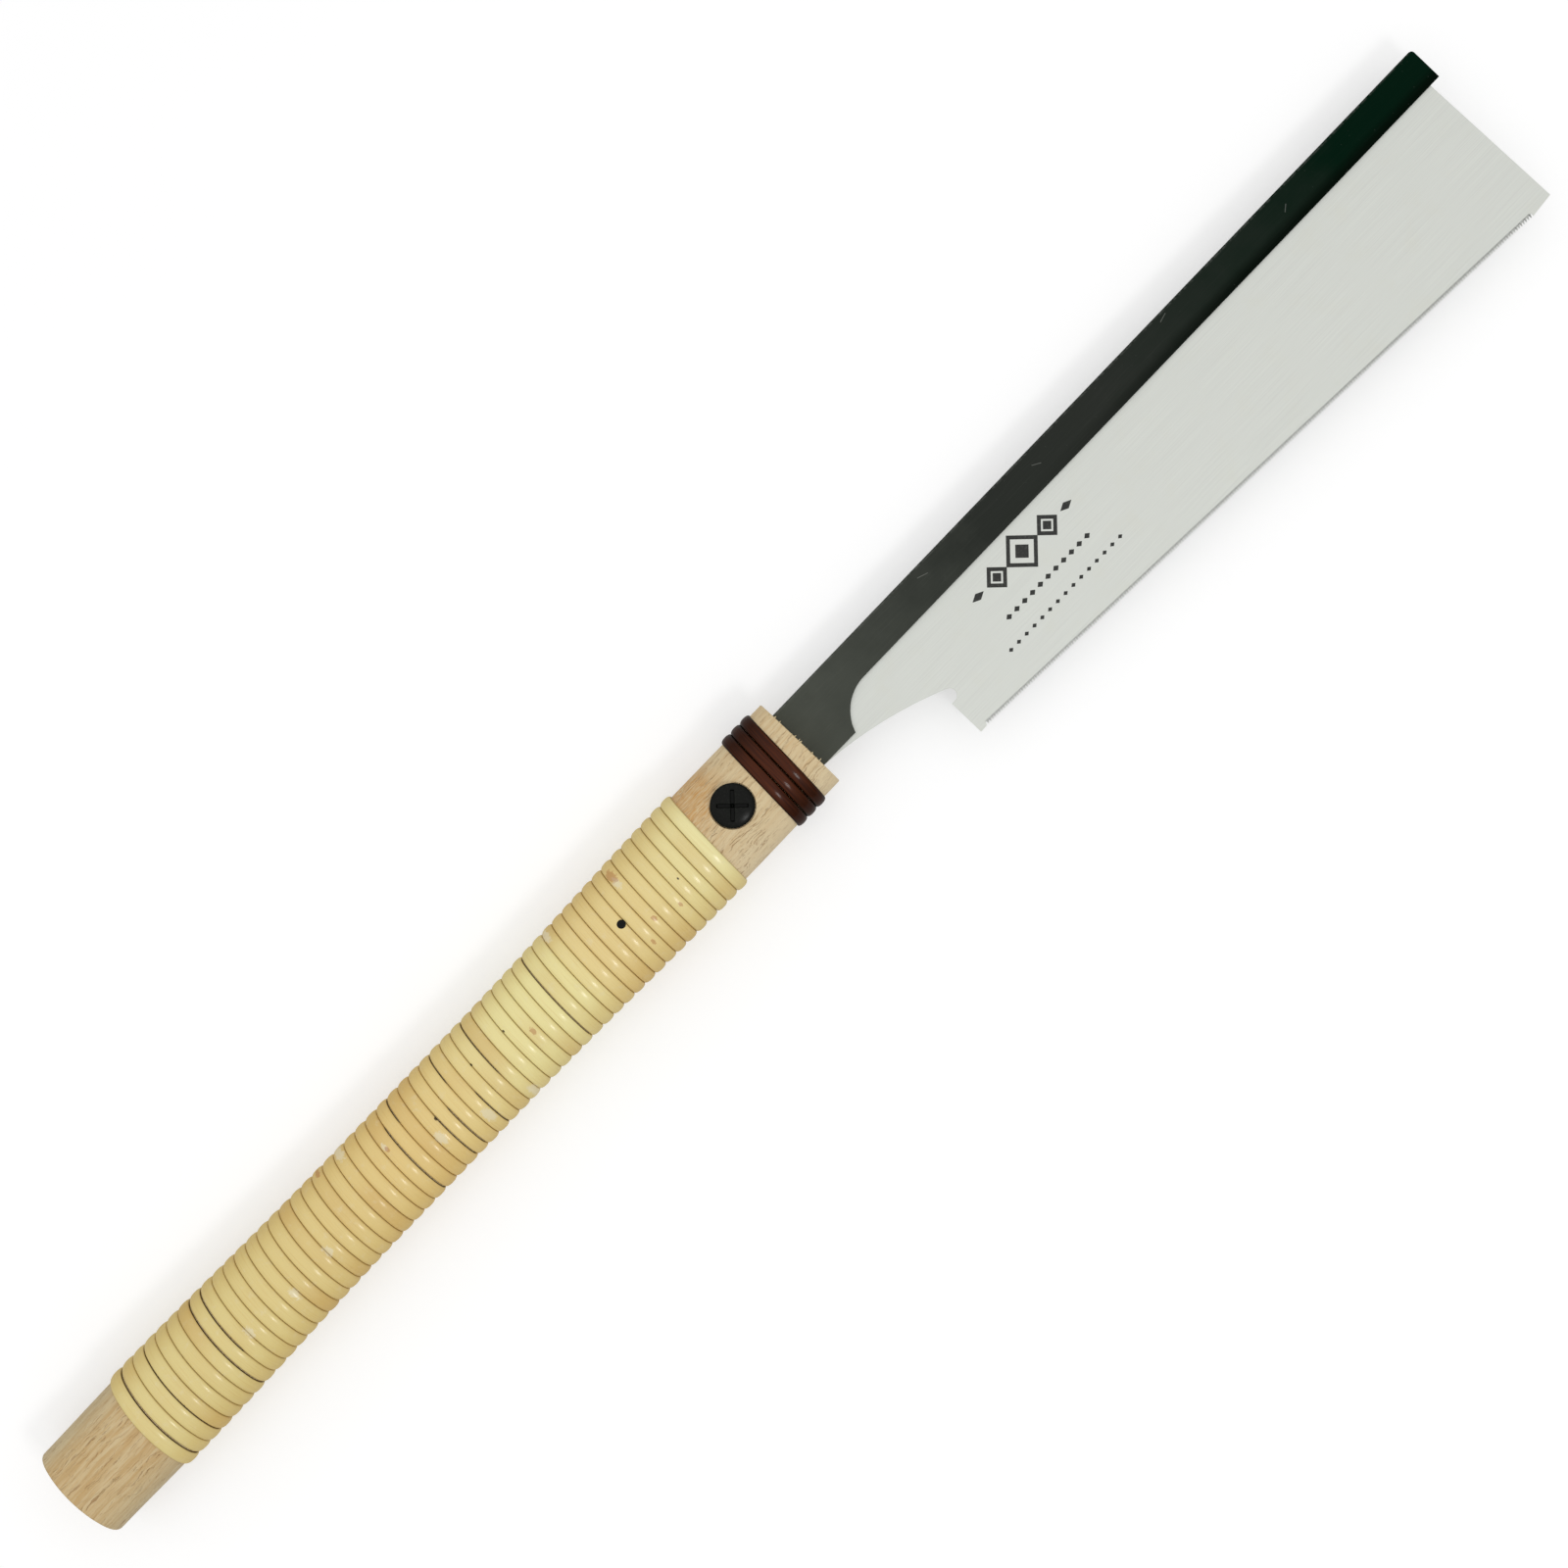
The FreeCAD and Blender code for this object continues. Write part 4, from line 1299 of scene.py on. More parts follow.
@dataclass(frozen=True)
class HandleForm:
    """The handle's four-arc oval and its line from mouth to butt."""

    stations: Tuple[Point2, ...] = (
        (0.0, 35.1), (42.0, 35.4), (140.0, 32.0), (200.0, 32.0), (297.0, 35.1), (332.5, 34.4))
    flatness: float = 0.73
    end_ratio: float = 0.58

    @property
    def length(self) -> float:
        """Mouth to butt."""
        return self.stations[-1][0]

    @property
    def flat_ratio(self) -> float:
        """Radius of the flat arcs over the half width."""
        reach = 1.0 - self.end_ratio
        return ((reach ** 2 + self.flatness ** 2 - self.end_ratio ** 2)
                / (2 * (self.flatness - self.end_ratio)))

    @property
    def join(self) -> float:
        """Direction in which the arcs meet, from +Y."""
        return math.atan2(self.flat_ratio - self.flatness, 1.0 - self.end_ratio)

    def half_width(self, back: float) -> float:
        """Half width at a distance behind the mouth.

        Args:
            back: The distance.

        Returns:
            The half width.
        """
        for (near, near_wide), (far, far_wide) in zip(self.stations, self.stations[1:]):
            if back <= far:
                ease = smooth_share(back, near, far)
                return (near_wide + (far_wide - near_wide) * ease) / 2
        return self.stations[-1][1] / 2

    def direction(self, share: float) -> float:
        """The normal's direction at a share of the way round, measured along the surface.

        Args:
            share: 0 at +Y, 0.25 at +Z, 0.5 at -Y, 0.75 at -Z.

        Returns:
            The direction in radians.
        """
        quarter, part = divmod((share % 1.0) * 4.0, 1.0)
        backwards = int(quarter) % 2 == 1
        end_long = self.end_ratio * self.join
        flat_long = self.flat_ratio * (math.pi / 2 - self.join)
        along = (1.0 - part if backwards else part) * (end_long + flat_long)
        if along < end_long:
            turn = along / self.end_ratio
        else:
            turn = self.join + (along - end_long) / self.flat_ratio
        base = math.pi / 2 * int(quarter)
        return base + math.pi / 2 - turn if backwards else base + turn

    def point(self, back: float, direction: float, stand: float) -> Vector:
        """A point on the oval or standing off it.

        Args:
            back: Distance behind the mouth.
            direction: The normal's direction, from +Y to +Z.
            stand: How far off the wood.

        Returns:
            The point.
        """
        half = self.half_width(back)
        across, up = math.cos(direction), math.sin(direction)
        tip = math.cos(self.join)
        if abs(across) > tip:
            centre = Vector((0.0, math.copysign(1.0 - self.end_ratio, across) * half, 0.0))
            radius = self.end_ratio * half
        else:
            sink = self.flat_ratio - self.flatness
            centre = Vector((0.0, 0.0, -math.copysign(sink, up) * half))
            radius = self.flat_ratio * half
        spot = centre + Vector((0.0, across, up)) * (radius + stand)
        return Vector((-back, spot.y, spot.z))


@dataclass(frozen=True)
class Fixings:
    """Where the clamp screw and the pin go through the handle."""

    screw: Point2 = (-29.3, 1.6)
    pin: Point2 = (-80.5, 1.0)
    seat: float = 11.7
    head_half: float = 7.2
    shank_half: float = 2.5
    washer_half: float = 6.0
    washer_thick: float = 1.0
    pin_half: float = 1.45
    play: float = 0.35


@dataclass(frozen=True)
class Handle:
    """The slit oak handle with its softened edges and a few splinters at the mouth."""

    form: HandleForm = HandleForm()
    fixings: Fixings = Fixings()
    spacing: float = 3.5
    facets: int = 168
    mouth_round: float = 0.35
    butt_round: float = 0.8
    slit_deep: float = 86.0
    slit_half: float = 1.15
    splinters: int = 15
    seed: int = 7

    def build(self) -> bpy.types.Object:
        """Draws the wood and carves it.

        Returns:
            The piece.
        """
        draft = Draft()
        rings = []
        for back, stand in self._stations():
            ring = []
            for facet in range(self.facets):
                direction = self.form.direction(-facet / self.facets)
                ring.append(self.form.point(back, direction, stand))
            rings.append(draft.add_ring(ring))
        for first, second in zip(rings, rings[1:]):
            draft.skin(second, first)
        draft.cap(rings[0])
        draft.cap(rings[-1], backwards=True)
        wood = draft.build("oak_handle")
        Carver.carve(wood, self._cutters())
        return wood

    def _stations(self) -> List[Point2]:
        """Distances behind the mouth, and how far each ring stands off, from the mouth."""
        stations = [
            (self.mouth_round * (1 - math.cos(turn)), -self.mouth_round * (1 - math.sin(turn)))
            for turn in (0.0, 0.4, 0.8, 1.2, math.pi / 2)
        ]
        inner = self.form.length - self.butt_round
        count = int((inner - self.mouth_round) / self.spacing)
        for step in range(1, count):
            stations.append((self.mouth_round + (inner - self.mouth_round) * step / count, 0.0))
        for turn in (0.0, 0.4, 0.8, 1.2, math.pi / 2):
            stations.append((inner + self.butt_round * math.sin(turn),
                             -self.butt_round * (1 - math.cos(turn))))
        return stations

    def _cutters(self) -> List[bpy.types.Object]:
        """The slit, the bores and the seats."""
        screw, pin, play = self.fixings.screw, self.fixings.pin, self.fixings.play
        far = 40.0
        seat = self.fixings.seat
        head = self.fixings.head_half + play
        washer = self.fixings.washer_half + play
        shank = self.fixings.shank_half + play
        floor = seat - self.fixings.washer_thick
        stepped = [(head, -far), (head, -seat), (3.75, -seat), (3.75, 7.8 - seat),
                   (shank, 7.8 - seat), (shank, floor), (washer, floor), (washer, seat),
                   (head, seat), (head, far)]
        slim = [(self.fixings.pin_half + 0.05, -far), (self.fixings.pin_half + 0.05, far)]
        return [
            block("slit_cut", (-self.slit_deep, -far, -self.slit_half), (far, far, self.slit_half)),
            Turned.draft(stepped, screw).build("screw_cut"),
            Turned.draft(slim, pin, 48).build("pin_cut"),
        ]

    def build_splinters(self) -> bpy.types.Object:
        """Draws the torn fibres that stand out along the slit's lip.

        Returns:
            The piece.
        """
        dice = random.Random(self.seed)
        draft = Draft()
        for _ in range(self.splinters):
            y = dice.uniform(-9.8, 12.0)
            z = self.slit_half + dice.uniform(-0.02, 0.10)
            thick = dice.uniform(0.12, 0.28)
            reach = dice.uniform(0.3, 1.1)
            sway = dice.uniform(-0.3, 0.3)
            rings = []
            for share, size in ((-0.5, 1.0), (0.0, 1.0), (0.6, 0.7), (1.0, 0.15)):
                spread = thick * size
                centre = Vector((reach * share, y + sway * max(share, 0.0), z + spread))
                rings.append(draft.add_ring([
                    centre + Vector((0.0, -spread, -spread * 0.6)),
                    centre + Vector((0.0, spread, -spread * 0.6)),
                    centre + Vector((0.0, spread * 0.7, spread * 0.6)),
                    centre + Vector((0.0, -spread * 0.7, spread * 0.6)),
                ]))
            for first, second in zip(rings, rings[1:]):
                draft.skin(first, second)
            draft.cap(rings[0], backwards=True)
            draft.cap(rings[-1])
        return draft.build("mouth_splinters")


@dataclass(frozen=True)
class OpenGap:
    """A stretch where two neighbouring turns stand apart."""

    seam: float
    low: float
    high: float
    width: float


@dataclass(frozen=True)
class Winding:
    """A strip of cane wound edge to edge round the handle as one real helix."""

    name: str
    front: float
    turns: int
    rear_turn: float
    front_turn: float
    crest: float
    form: HandleForm = HandleForm()
    under: float = 0.06
    edge: float = 0.10
    squareness: float = 2.35
    steps: int = 100
    across: int = 14
    wander: float = 0.2
    sag: float = 0.12
    gap: float = 0.02
    tuck: float = 0.10
    seed: int = 3
    gaps: Tuple[OpenGap, ...] = ()

    @property
    def rear(self) -> float:
        """Mouth to the rear of the winding."""
        return self.front + self.turns * (self.rear_turn + self.front_turn) / 2

    def seam(self, turn: float) -> float:
        """Where the seam lies after so many turns from the rear.

        Args:
            turn: The turns.

        Returns:
            X of the seam.
        """
        slow = (self.front_turn - self.rear_turn) / (2 * self.turns)
        shift = noise.noise(Vector((turn * 0.83, self.seed, 0.4))) * self.wander
        hold = smooth_share(turn, 0.0, 1.5) * smooth_share(self.turns - turn, 0.0, 1.5)
        return -self.rear + self.rear_turn * turn + slow * turn * turn + shift * hold

    def open_width(self, turn: float) -> float:
        """How far the turns on both sides of a seam stand apart there.

        Args:
            turn: Where along the seam.

        Returns:
            The gap.
        """
        width = self.gap * (0.6 + 0.8 * abs(noise.noise(Vector((turn * 1.9, self.seed, 7.0)))))
        for item in self.gaps:
            along = turn - item.seam
            rise = smooth_share(along, item.low - 0.04, item.low + 0.03)
            fall = smooth_share(along, item.high - 0.03, item.high + 0.04)
            width = max(width, item.width * (rise - fall))
        return width

    def build(self) -> bpy.types.Object:
        """Winds the strip.

        Returns:
            The piece.
        """
        draft = Draft()
        total = self.turns * self.steps
        before: Optional[List[int]] = None
        for step in range(total + 1):
            ring, values = self._section(step / self.steps)
            numbers = draft.add_ring(ring, **values)
            if before is None:
                draft.cap(numbers, backwards=True)
            else:
                draft.skin(before, numbers)
            before = numbers
        draft.cap(before)
        return draft.build(self.name, 50.0)

    def _section(self, turn: float) -> Tuple[List[Vector], Dict[str, List[float]]]:
        """The strip's section after so many turns, with what each point carries."""
        direction = self.form.direction(0.75 - turn)
        rear_gap = self.open_width(turn - 0.5)
        front_gap = self.open_width(turn + 0.5)
        rear = max(self.seam(turn - 0.5), self.seam(-0.25)) + rear_gap / 2
        front = min(self.seam(turn + 0.5), self.seam(self.turns + 0.25)) - front_gap / 2
        ends = smooth_share(turn, 0.0, self.tuck) * smooth_share(self.turns - turn, 0.0, self.tuck)
        wave = noise.noise(Vector((turn * 1.3, self.seed, 2.0)))
        crest = (self.crest - self.sag * (0.5 + 0.5 * wave)) * (0.35 + 0.65 * ends)
        ring, shares, opens = [], [], []
        for index in range(self.across + 1):
            share = -math.cos(math.pi * index / self.across)
            rise = (1.0 - abs(share) ** self.squareness) ** (1.0 / 2.2)
            stand = self.edge + (crest - self.edge) * rise
            x = (rear + front) / 2 + (front - rear) / 2 * share
            ring.append(self.form.point(-x, direction, stand))
            shares.append(share)
            # The open value marks the turns' edges where they stand apart, for the finish's painted
            # gap shade.
            wide = rear_gap if share < 0 else front_gap
            near = smooth_share(abs(share), 0.90, 0.99)
            opens.append(near * smooth_share(wide, 0.08, 0.2))
        for share in (1.0, -1.0):
            x = (rear + front) / 2 + (front - rear) / 2 * share
            ring.append(self.form.point(-x, direction, self.under))
            shares.append(share)
            opens.append(opens[0] if share < 0 else opens[self.across])
        count = len(ring)
        values = {
            "across": shares,
            "open": opens,
            "turn": [turn] * count,
            "share": [turn / self.turns] * count,
        }
        return ring, values


# ---------------------------------------------------------------- the blade


@dataclass(frozen=True)
class Spine:
    """The folded steel back, its cheeks and its forked tang."""

    tall: float = 12.4
    half: float = 1.05
    end: float = 295.5
    corner: float = 1.2
    fold: float = 0.9
    bevel: float = 0.14
    cheek_drop: float = 10.5
    cheek_long: float = 14.7
    sweep_end: float = 29.6
    sweep_round: float = 15.7
    tang: float = 68.0
    tang_corner: float = 3.0
    plate_top: float = 11.0
    plate_half: float = 0.16
    slot_half: float = 2.75
    fixings: Fixings = Fixings()

    def build(self) -> bpy.types.Object:
        """Draws the back, opens the fold for the plate and cuts the tang's slot.

        Returns:
            The piece.
        """
        outline: List[Point2] = [
            (-self.tang, -self.cheek_drop + self.tang_corner),
            (-self.tang + self.tang_corner, -self.cheek_drop),
            (0.0, -self.cheek_drop),
        ]
        outline += arc_through((self.cheek_long, -self.cheek_drop), (self.sweep_end, 0.0),
                               self.sweep_round, True, 28)
        outline += [(x, 0.0) for x in (60.0, 110.0, 160.0, 210.0, 260.0)]
        outline.append((self.end, 0.0))
        bevels = [self.bevel] * len(outline)
        corner = arc((self.end - self.corner, self.tall - self.corner), self.corner, 0.0, 90.0, 10)
        outline += corner
        for step in range(len(corner)):
            bevels.append(self.bevel + (self.fold - self.bevel) * step / (len(corner) - 1))
        top = [(x, self.tall) for x in (260.0, 210.0, 160.0, 110.0, 60.0, 10.0)]
        outline += top
        bevels += [self.fold] * len(top)
        outline += [
            (-self.tang + self.tang_corner, self.tall),
            (-self.tang, self.tall - self.tang_corner),
        ]
        bevels += [self.bevel, self.bevel]
        piece = Slab.draft(outline, self.half, bevels, steps=5).build("folded_back")
        Carver.carve(piece, [
            block("throat_cut", (-self.tang - 5.0, -self.cheek_drop - 5.0, -self.plate_half),
                  (self.end + 5.0, self.plate_top, self.plate_half)),
            self.slot_cutter("spine_slot_cut"),
        ])
        return piece

    def slot_cutter(self, name: str) -> bpy.types.Object:
        """The shape of the tang's open slot.

        Args:
            name: The cutter's name.

        Returns:
            The cutter.
        """
        x, y = self.fixings.screw
        outline = arc((x, y), self.slot_half, -90.0, 90.0, 24)
        outline += [(-self.tang - 5.0, y + self.slot_half), (-self.tang - 5.0, y - self.slot_half)]
        return Slab.draft(outline, 4.0, [0.01] * len(outline), steps=1).build(name)


@dataclass(frozen=True)
class Plate:
    """The thin toothed plate with its belly, heel notch and raked, set teeth."""

    half: float = 0.15
    bevel: float = 0.03
    heel: Point2 = (42.7, -39.4)
    nib: float = 2.7
    toe: Point2 = (284.6, -52.75)
    tip: Point2 = (293.1, -51.9)
    tip_top: Point2 = (291.5, 11.0)
    notch: Point2 = (44.1, -24.1)
    notch_round: float = 2.3
    notch_lip: float = 0.8
    notch_rise: float = 2.16
    belly_round: float = 144.0
    drop: float = 10.5
    tang: float = 67.0
    teeth: int = 239
    gullet: float = 1.5
    root: float = 0.8
    land: float = 0.16
    set_out: float = 0.07
    spine: Spine = Spine()

    def build(self) -> bpy.types.Object:
        """Draws the plate with every tooth.

        Returns:
            The piece.
        """
        belly_end = (self.notch[0] + self.notch_lip, self.notch[1] + self.notch_rise)
        outline: List[Point2] = [(-self.tang, -self.drop + 3.0), (-self.tang + 2.0, -self.drop)]
        outline += arc_through((0.0, -self.drop), belly_end, self.belly_round, True, 36)
        outline += arc_through(belly_end, (self.notch[0], self.notch[1] - self.notch_round),
                               self.notch_round, True, 18)[1:]
        outline += [(self.heel[0], self.notch[1] - self.notch_round), self.heel]
        lifts = [0.0] * len(outline)
        for point, lift in self._teeth():
            outline.append(point)
            lifts.append(lift)
        tail = [self.tip, self.tip_top, (200.0, 11.0), (100.0, 11.0), (0.0, 11.0),
                (-self.tang + 3.0, 11.0), (-self.tang, 8.0)]
        outline += tail
        lifts += [0.0] * len(tail)
        piece = Slab.draft(outline, self.half, [self.bevel] * len(outline), lifts, 2).build(
            "toothed_plate")
        Carver.carve(piece, [self.spine.slot_cutter("plate_slot_cut")])
        return piece

    def tooth_line(self) -> Tuple[Vector, Vector]:
        """Where the row of teeth starts, and its run to the toe."""
        start = Vector((self.heel[0] + self.nib, self.heel[1]))
        return start, Vector(self.toe) - start

    def _teeth(self) -> List[Tuple[Point2, float]]:
        """Corner points along the cutting edge, each with its set to one side."""
        start, run = self.tooth_line()
        along = run.normalized()
        inward = Vector((-along.y, along.x))
        pitch = run.length / self.teeth
        points: List[Tuple[Point2, float]] = [(tuple(start), 0.0)]
        for tooth in range(self.teeth):
            side = self.set_out if tooth % 2 else -self.set_out
            base = start + along * pitch * tooth
            root = base + along * pitch * self.root + inward * self.gullet
            points.append((tuple(root), 0.0))
            points.append((tuple(root + along * pitch * 0.06), 0.0))
            points.append((tuple(base + along * pitch * (1.0 - self.land * 0.5)), side))
            if tooth < self.teeth - 1:
                points.append((tuple(base + along * pitch * (1.0 + self.land * 0.5)), side))
        return points


@dataclass(frozen=True)
class LozengePrint:
    """A plain printed ornament of nested lozenges over two dotted rules, with no lettering."""

    centre: Point2 = (93.5, -8.8)
    reach: float = 7.2
    small: float = 4.6
    spacing: float = 11.6
    stroke: float = 1.3
    level: float = 0.152
    thick: float = 0.012
    rows: Tuple[Tuple[float, int, float], ...] = ((-20.4, 11, 1.25), (-28.2, 15, 0.95))
    pitch: float = 3.6

    def build(self) -> bpy.types.Object:
        """Draws the ornament.

        Returns:
            The piece.
        """
        draft = Draft()
        x, y = self.centre
        for shift, reach in ((0.0, self.reach), (-self.spacing, self.small),
                             (self.spacing, self.small)):
            self._frame(draft, x + shift, y, reach)
            self._lozenge(draft, x + shift, y, reach * 0.42, reach * 0.42)
        for side in (-1.0, 1.0):
            self._lozenge(draft, x + side * self.spacing * 1.75, y, 2.6, 1.3)
        for level, count, half in self.rows:
            for index in range(count):
                place = x + (index - (count - 1) / 2) * self.pitch
                self._lozenge(draft, place, level, half, half * 0.8)
        return draft.build("blade_ornament", 60.0)

    def _frame(self, draft: Draft, x: float, y: float, reach: float) -> None:
        """Draws a hollow lozenge as four strips that meet at its corners."""
        inner = reach - self.stroke * 1.4
        turns = ((1.0, 0.0), (0.0, 1.0), (-1.0, 0.0), (0.0, -1.0))
        for (ax, ay), (bx, by) in zip(turns, turns[1:] + turns[:1]):
            self._patch(draft, [(x + ax * reach, y + ay * reach), (x + bx * reach, y + by * reach),
                                (x + bx * inner, y + by * inner), (x + ax * inner, y + ay * inner)])

    def _lozenge(self, draft: Draft, x: float, y: float, wide: float, tall: float) -> None:
        """Draws a solid lozenge."""
        self._patch(draft, [(x + wide, y), (x, y + tall), (x - wide, y), (x, y - tall)])

    def _patch(self, draft: Draft, outline: Sequence[Point2]) -> None:
        """Draws one thin patch of ink."""
        low = draft.add_ring([Vector((x, y, self.level)) for x, y in outline])
        high = draft.add_ring([Vector((x, y, self.level + self.thick)) for x, y in outline])
        draft.skin(low, high)
        draft.cap(high)
        draft.cap(low, backwards=True)


# ---------------------------------------------------------------- screw, washer, nut and pin


@dataclass(frozen=True)
class Screw:
    """The clamp screw: a low dome with a cross recess, on a threaded shank."""

    fixings: Fixings = Fixings()
    rim: float = 1.1
    tall: float = 2.64
    recess_long: float = 11.0
    recess_half: float = 0.85
    recess_deep: float = 1.1
    length: float = 22.5
    thread: float = 0.8
    groove: float = 0.22

    def build(self) -> bpy.types.Object:
        """Draws the head and shank and cuts the recess.

        Returns:
            The piece.
        """
        seat = self.fixings.seat
        radius = self.fixings.head_half
        shank = self.fixings.shank_half
        profile: List[Point2] = [(0.05, seat - self.length), (shank - 0.5, seat - self.length),
                                 (shank - self.groove, seat - self.length + 0.5)]
        level = seat - self.length + 0.8
        while level < seat - 9.0:
            profile += [(shank - self.groove, level), (shank, level + self.thread * 0.5)]
            level += self.thread
        profile += [(shank, seat - 8.6), (shank, seat), (radius - 0.15, seat),
                    (radius, seat + 0.15), (radius, seat + self.rim - 0.2)]
        rise = self.tall - self.rim
        for step in range(1, 15):
            turn = math.pi / 2 * step / 14
            profile.append((max(radius * math.cos(turn), 0.05),
                            seat + self.rim + rise * math.sin(turn) ** 1.15))
        piece = Turned.draft(profile, self.fixings.screw, 120).build("clamp_screw_head")
        Carver.carve(piece, self._recess())
        return piece

    def _recess(self) -> List[bpy.types.Object]:
        """The two crossed slots and the pit in the middle."""
        top = self.fixings.seat + self.tall
        floor = top - self.recess_deep
        cutters = []
        for name, lean in (("recess_a", 45.0), ("recess_b", 135.0)):
            half = self.recess_long / 2
            run = Vector((math.cos(math.radians(lean)), math.sin(math.radians(lean)), 0.0))
            side = Vector((-run.y, run.x, 0.0))
            centre = Vector((*self.fixings.screw, 0.0))
            draft = Draft()
            rings = []
            for level, reach, wide in ((floor, half * 0.86, self.recess_half * 0.6),
                                       (top + 1.0, half * 1.06, self.recess_half * 1.15)):
                lift = Vector((0.0, 0.0, level))
                rings.append(draft.add_ring([
                    centre + lift - run * reach - side * wide,
                    centre + lift + run * reach - side * wide,
                    centre + lift + run * reach + side * wide,
                    centre + lift - run * reach + side * wide,
                ]))
            draft.skin(rings[0], rings[1])
            draft.cap(rings[0], backwards=True)
            draft.cap(rings[1])
            cutters.append(draft.build(name))
        pit = [(0.2, floor - 0.5), (0.9, floor + 0.1), (1.15, top + 1.0)]
        cutters.append(Turned.draft(pit, self.fixings.screw, 40).build("recess_pit"))
        return cutters


@dataclass(frozen=True)
class Washer:
    """The washer under the screw's head."""

    fixings: Fixings = Fixings()
    bore: float = 2.56
    bevel: float = 0.12

    def build(self) -> bpy.types.Object:
        """Draws the washer.

        Returns:
            The piece.
        """
        low = self.fixings.seat - self.fixings.washer_thick
        high = self.fixings.seat
        outer, edge = self.fixings.washer_half, self.bevel
        profile = [(self.bore, low), (outer - edge, low), (outer, low + edge),
                   (outer, high - edge), (outer - edge, high), (self.bore, high), (self.bore, low)]
        draft = Draft()
        rings = []
        for radius, height in profile[:-1]:
            ring = []
            for step in range(96):
                turn = 2 * math.pi * step / 96
                ring.append(Vector((self.fixings.screw[0] + radius * math.cos(turn),
                                    self.fixings.screw[1] + radius * math.sin(turn), height)))
            rings.append(draft.add_ring(ring))
        for first, second in zip(rings, rings[1:] + rings[:1]):
            draft.skin(first, second)
        return draft.build("head_washer")


@dataclass(frozen=True)
class Nut:
    """The sleeve nut, let into the far side, with a flat flange."""

    fixings: Fixings = Fixings()
    flange: float = 2.45
    sleeve: float = 7.8
    barrel: float = 3.7
    bore: float = 2.56
    web: float = 1.7
    rim: float = 0.5
    dish: float = 0.25

    def build(self) -> bpy.types.Object:
        """Draws the nut with a shallow dish in its face.

        Returns:
            The piece.
        """
        seat = -self.fixings.seat
        radius = self.fixings.head_half
        face = seat - self.flange
        profile: List[Point2] = [(0.05, face + self.dish), (radius - 2.2, face + self.dish),
                                 (radius - 1.6, face)]
        for step in range(7):
            turn = math.pi / 2 * step / 6
            profile.append((radius - self.rim + self.rim * math.sin(turn),
                            face + self.rim - self.rim * math.cos(turn)))
        profile += [(radius, seat), (self.barrel, seat), (self.barrel, seat + self.sleeve),
                    (self.bore, seat + self.sleeve), (self.bore, face + self.web),
                    (0.05, face + self.web)]
        return Turned.draft(profile, self.fixings.screw, 110).build("sleeve_nut")


@dataclass(frozen=True)
class Pin:
    """The pin across the end of the slit."""

    fixings: Fixings = Fixings()
    half_long: float = 13.8
    crown: float = 0.3

    def build(self) -> bpy.types.Object:
        """Draws the pin with rounded, slightly dished ends.

        Returns:
            The piece.
        """
        radius = self.fixings.pin_half
        end: List[Point2] = [(0.05, self.half_long - 0.12), (radius * 0.55, self.half_long - 0.08),
                             (radius - self.crown, self.half_long)]
        for step in range(1, 5):
            turn = math.pi / 2 * step / 4
            end.append((radius - self.crown + self.crown * math.sin(turn),
                        self.half_long - self.crown + self.crown * math.cos(turn)))
        profile = [(r, -z) for r, z in end] + list(reversed(end))
        return Turned.draft(profile, self.fixings.pin, 48).build("slit_pin_rod")


# ---------------------------------------------------------------- the whole saw and the studio


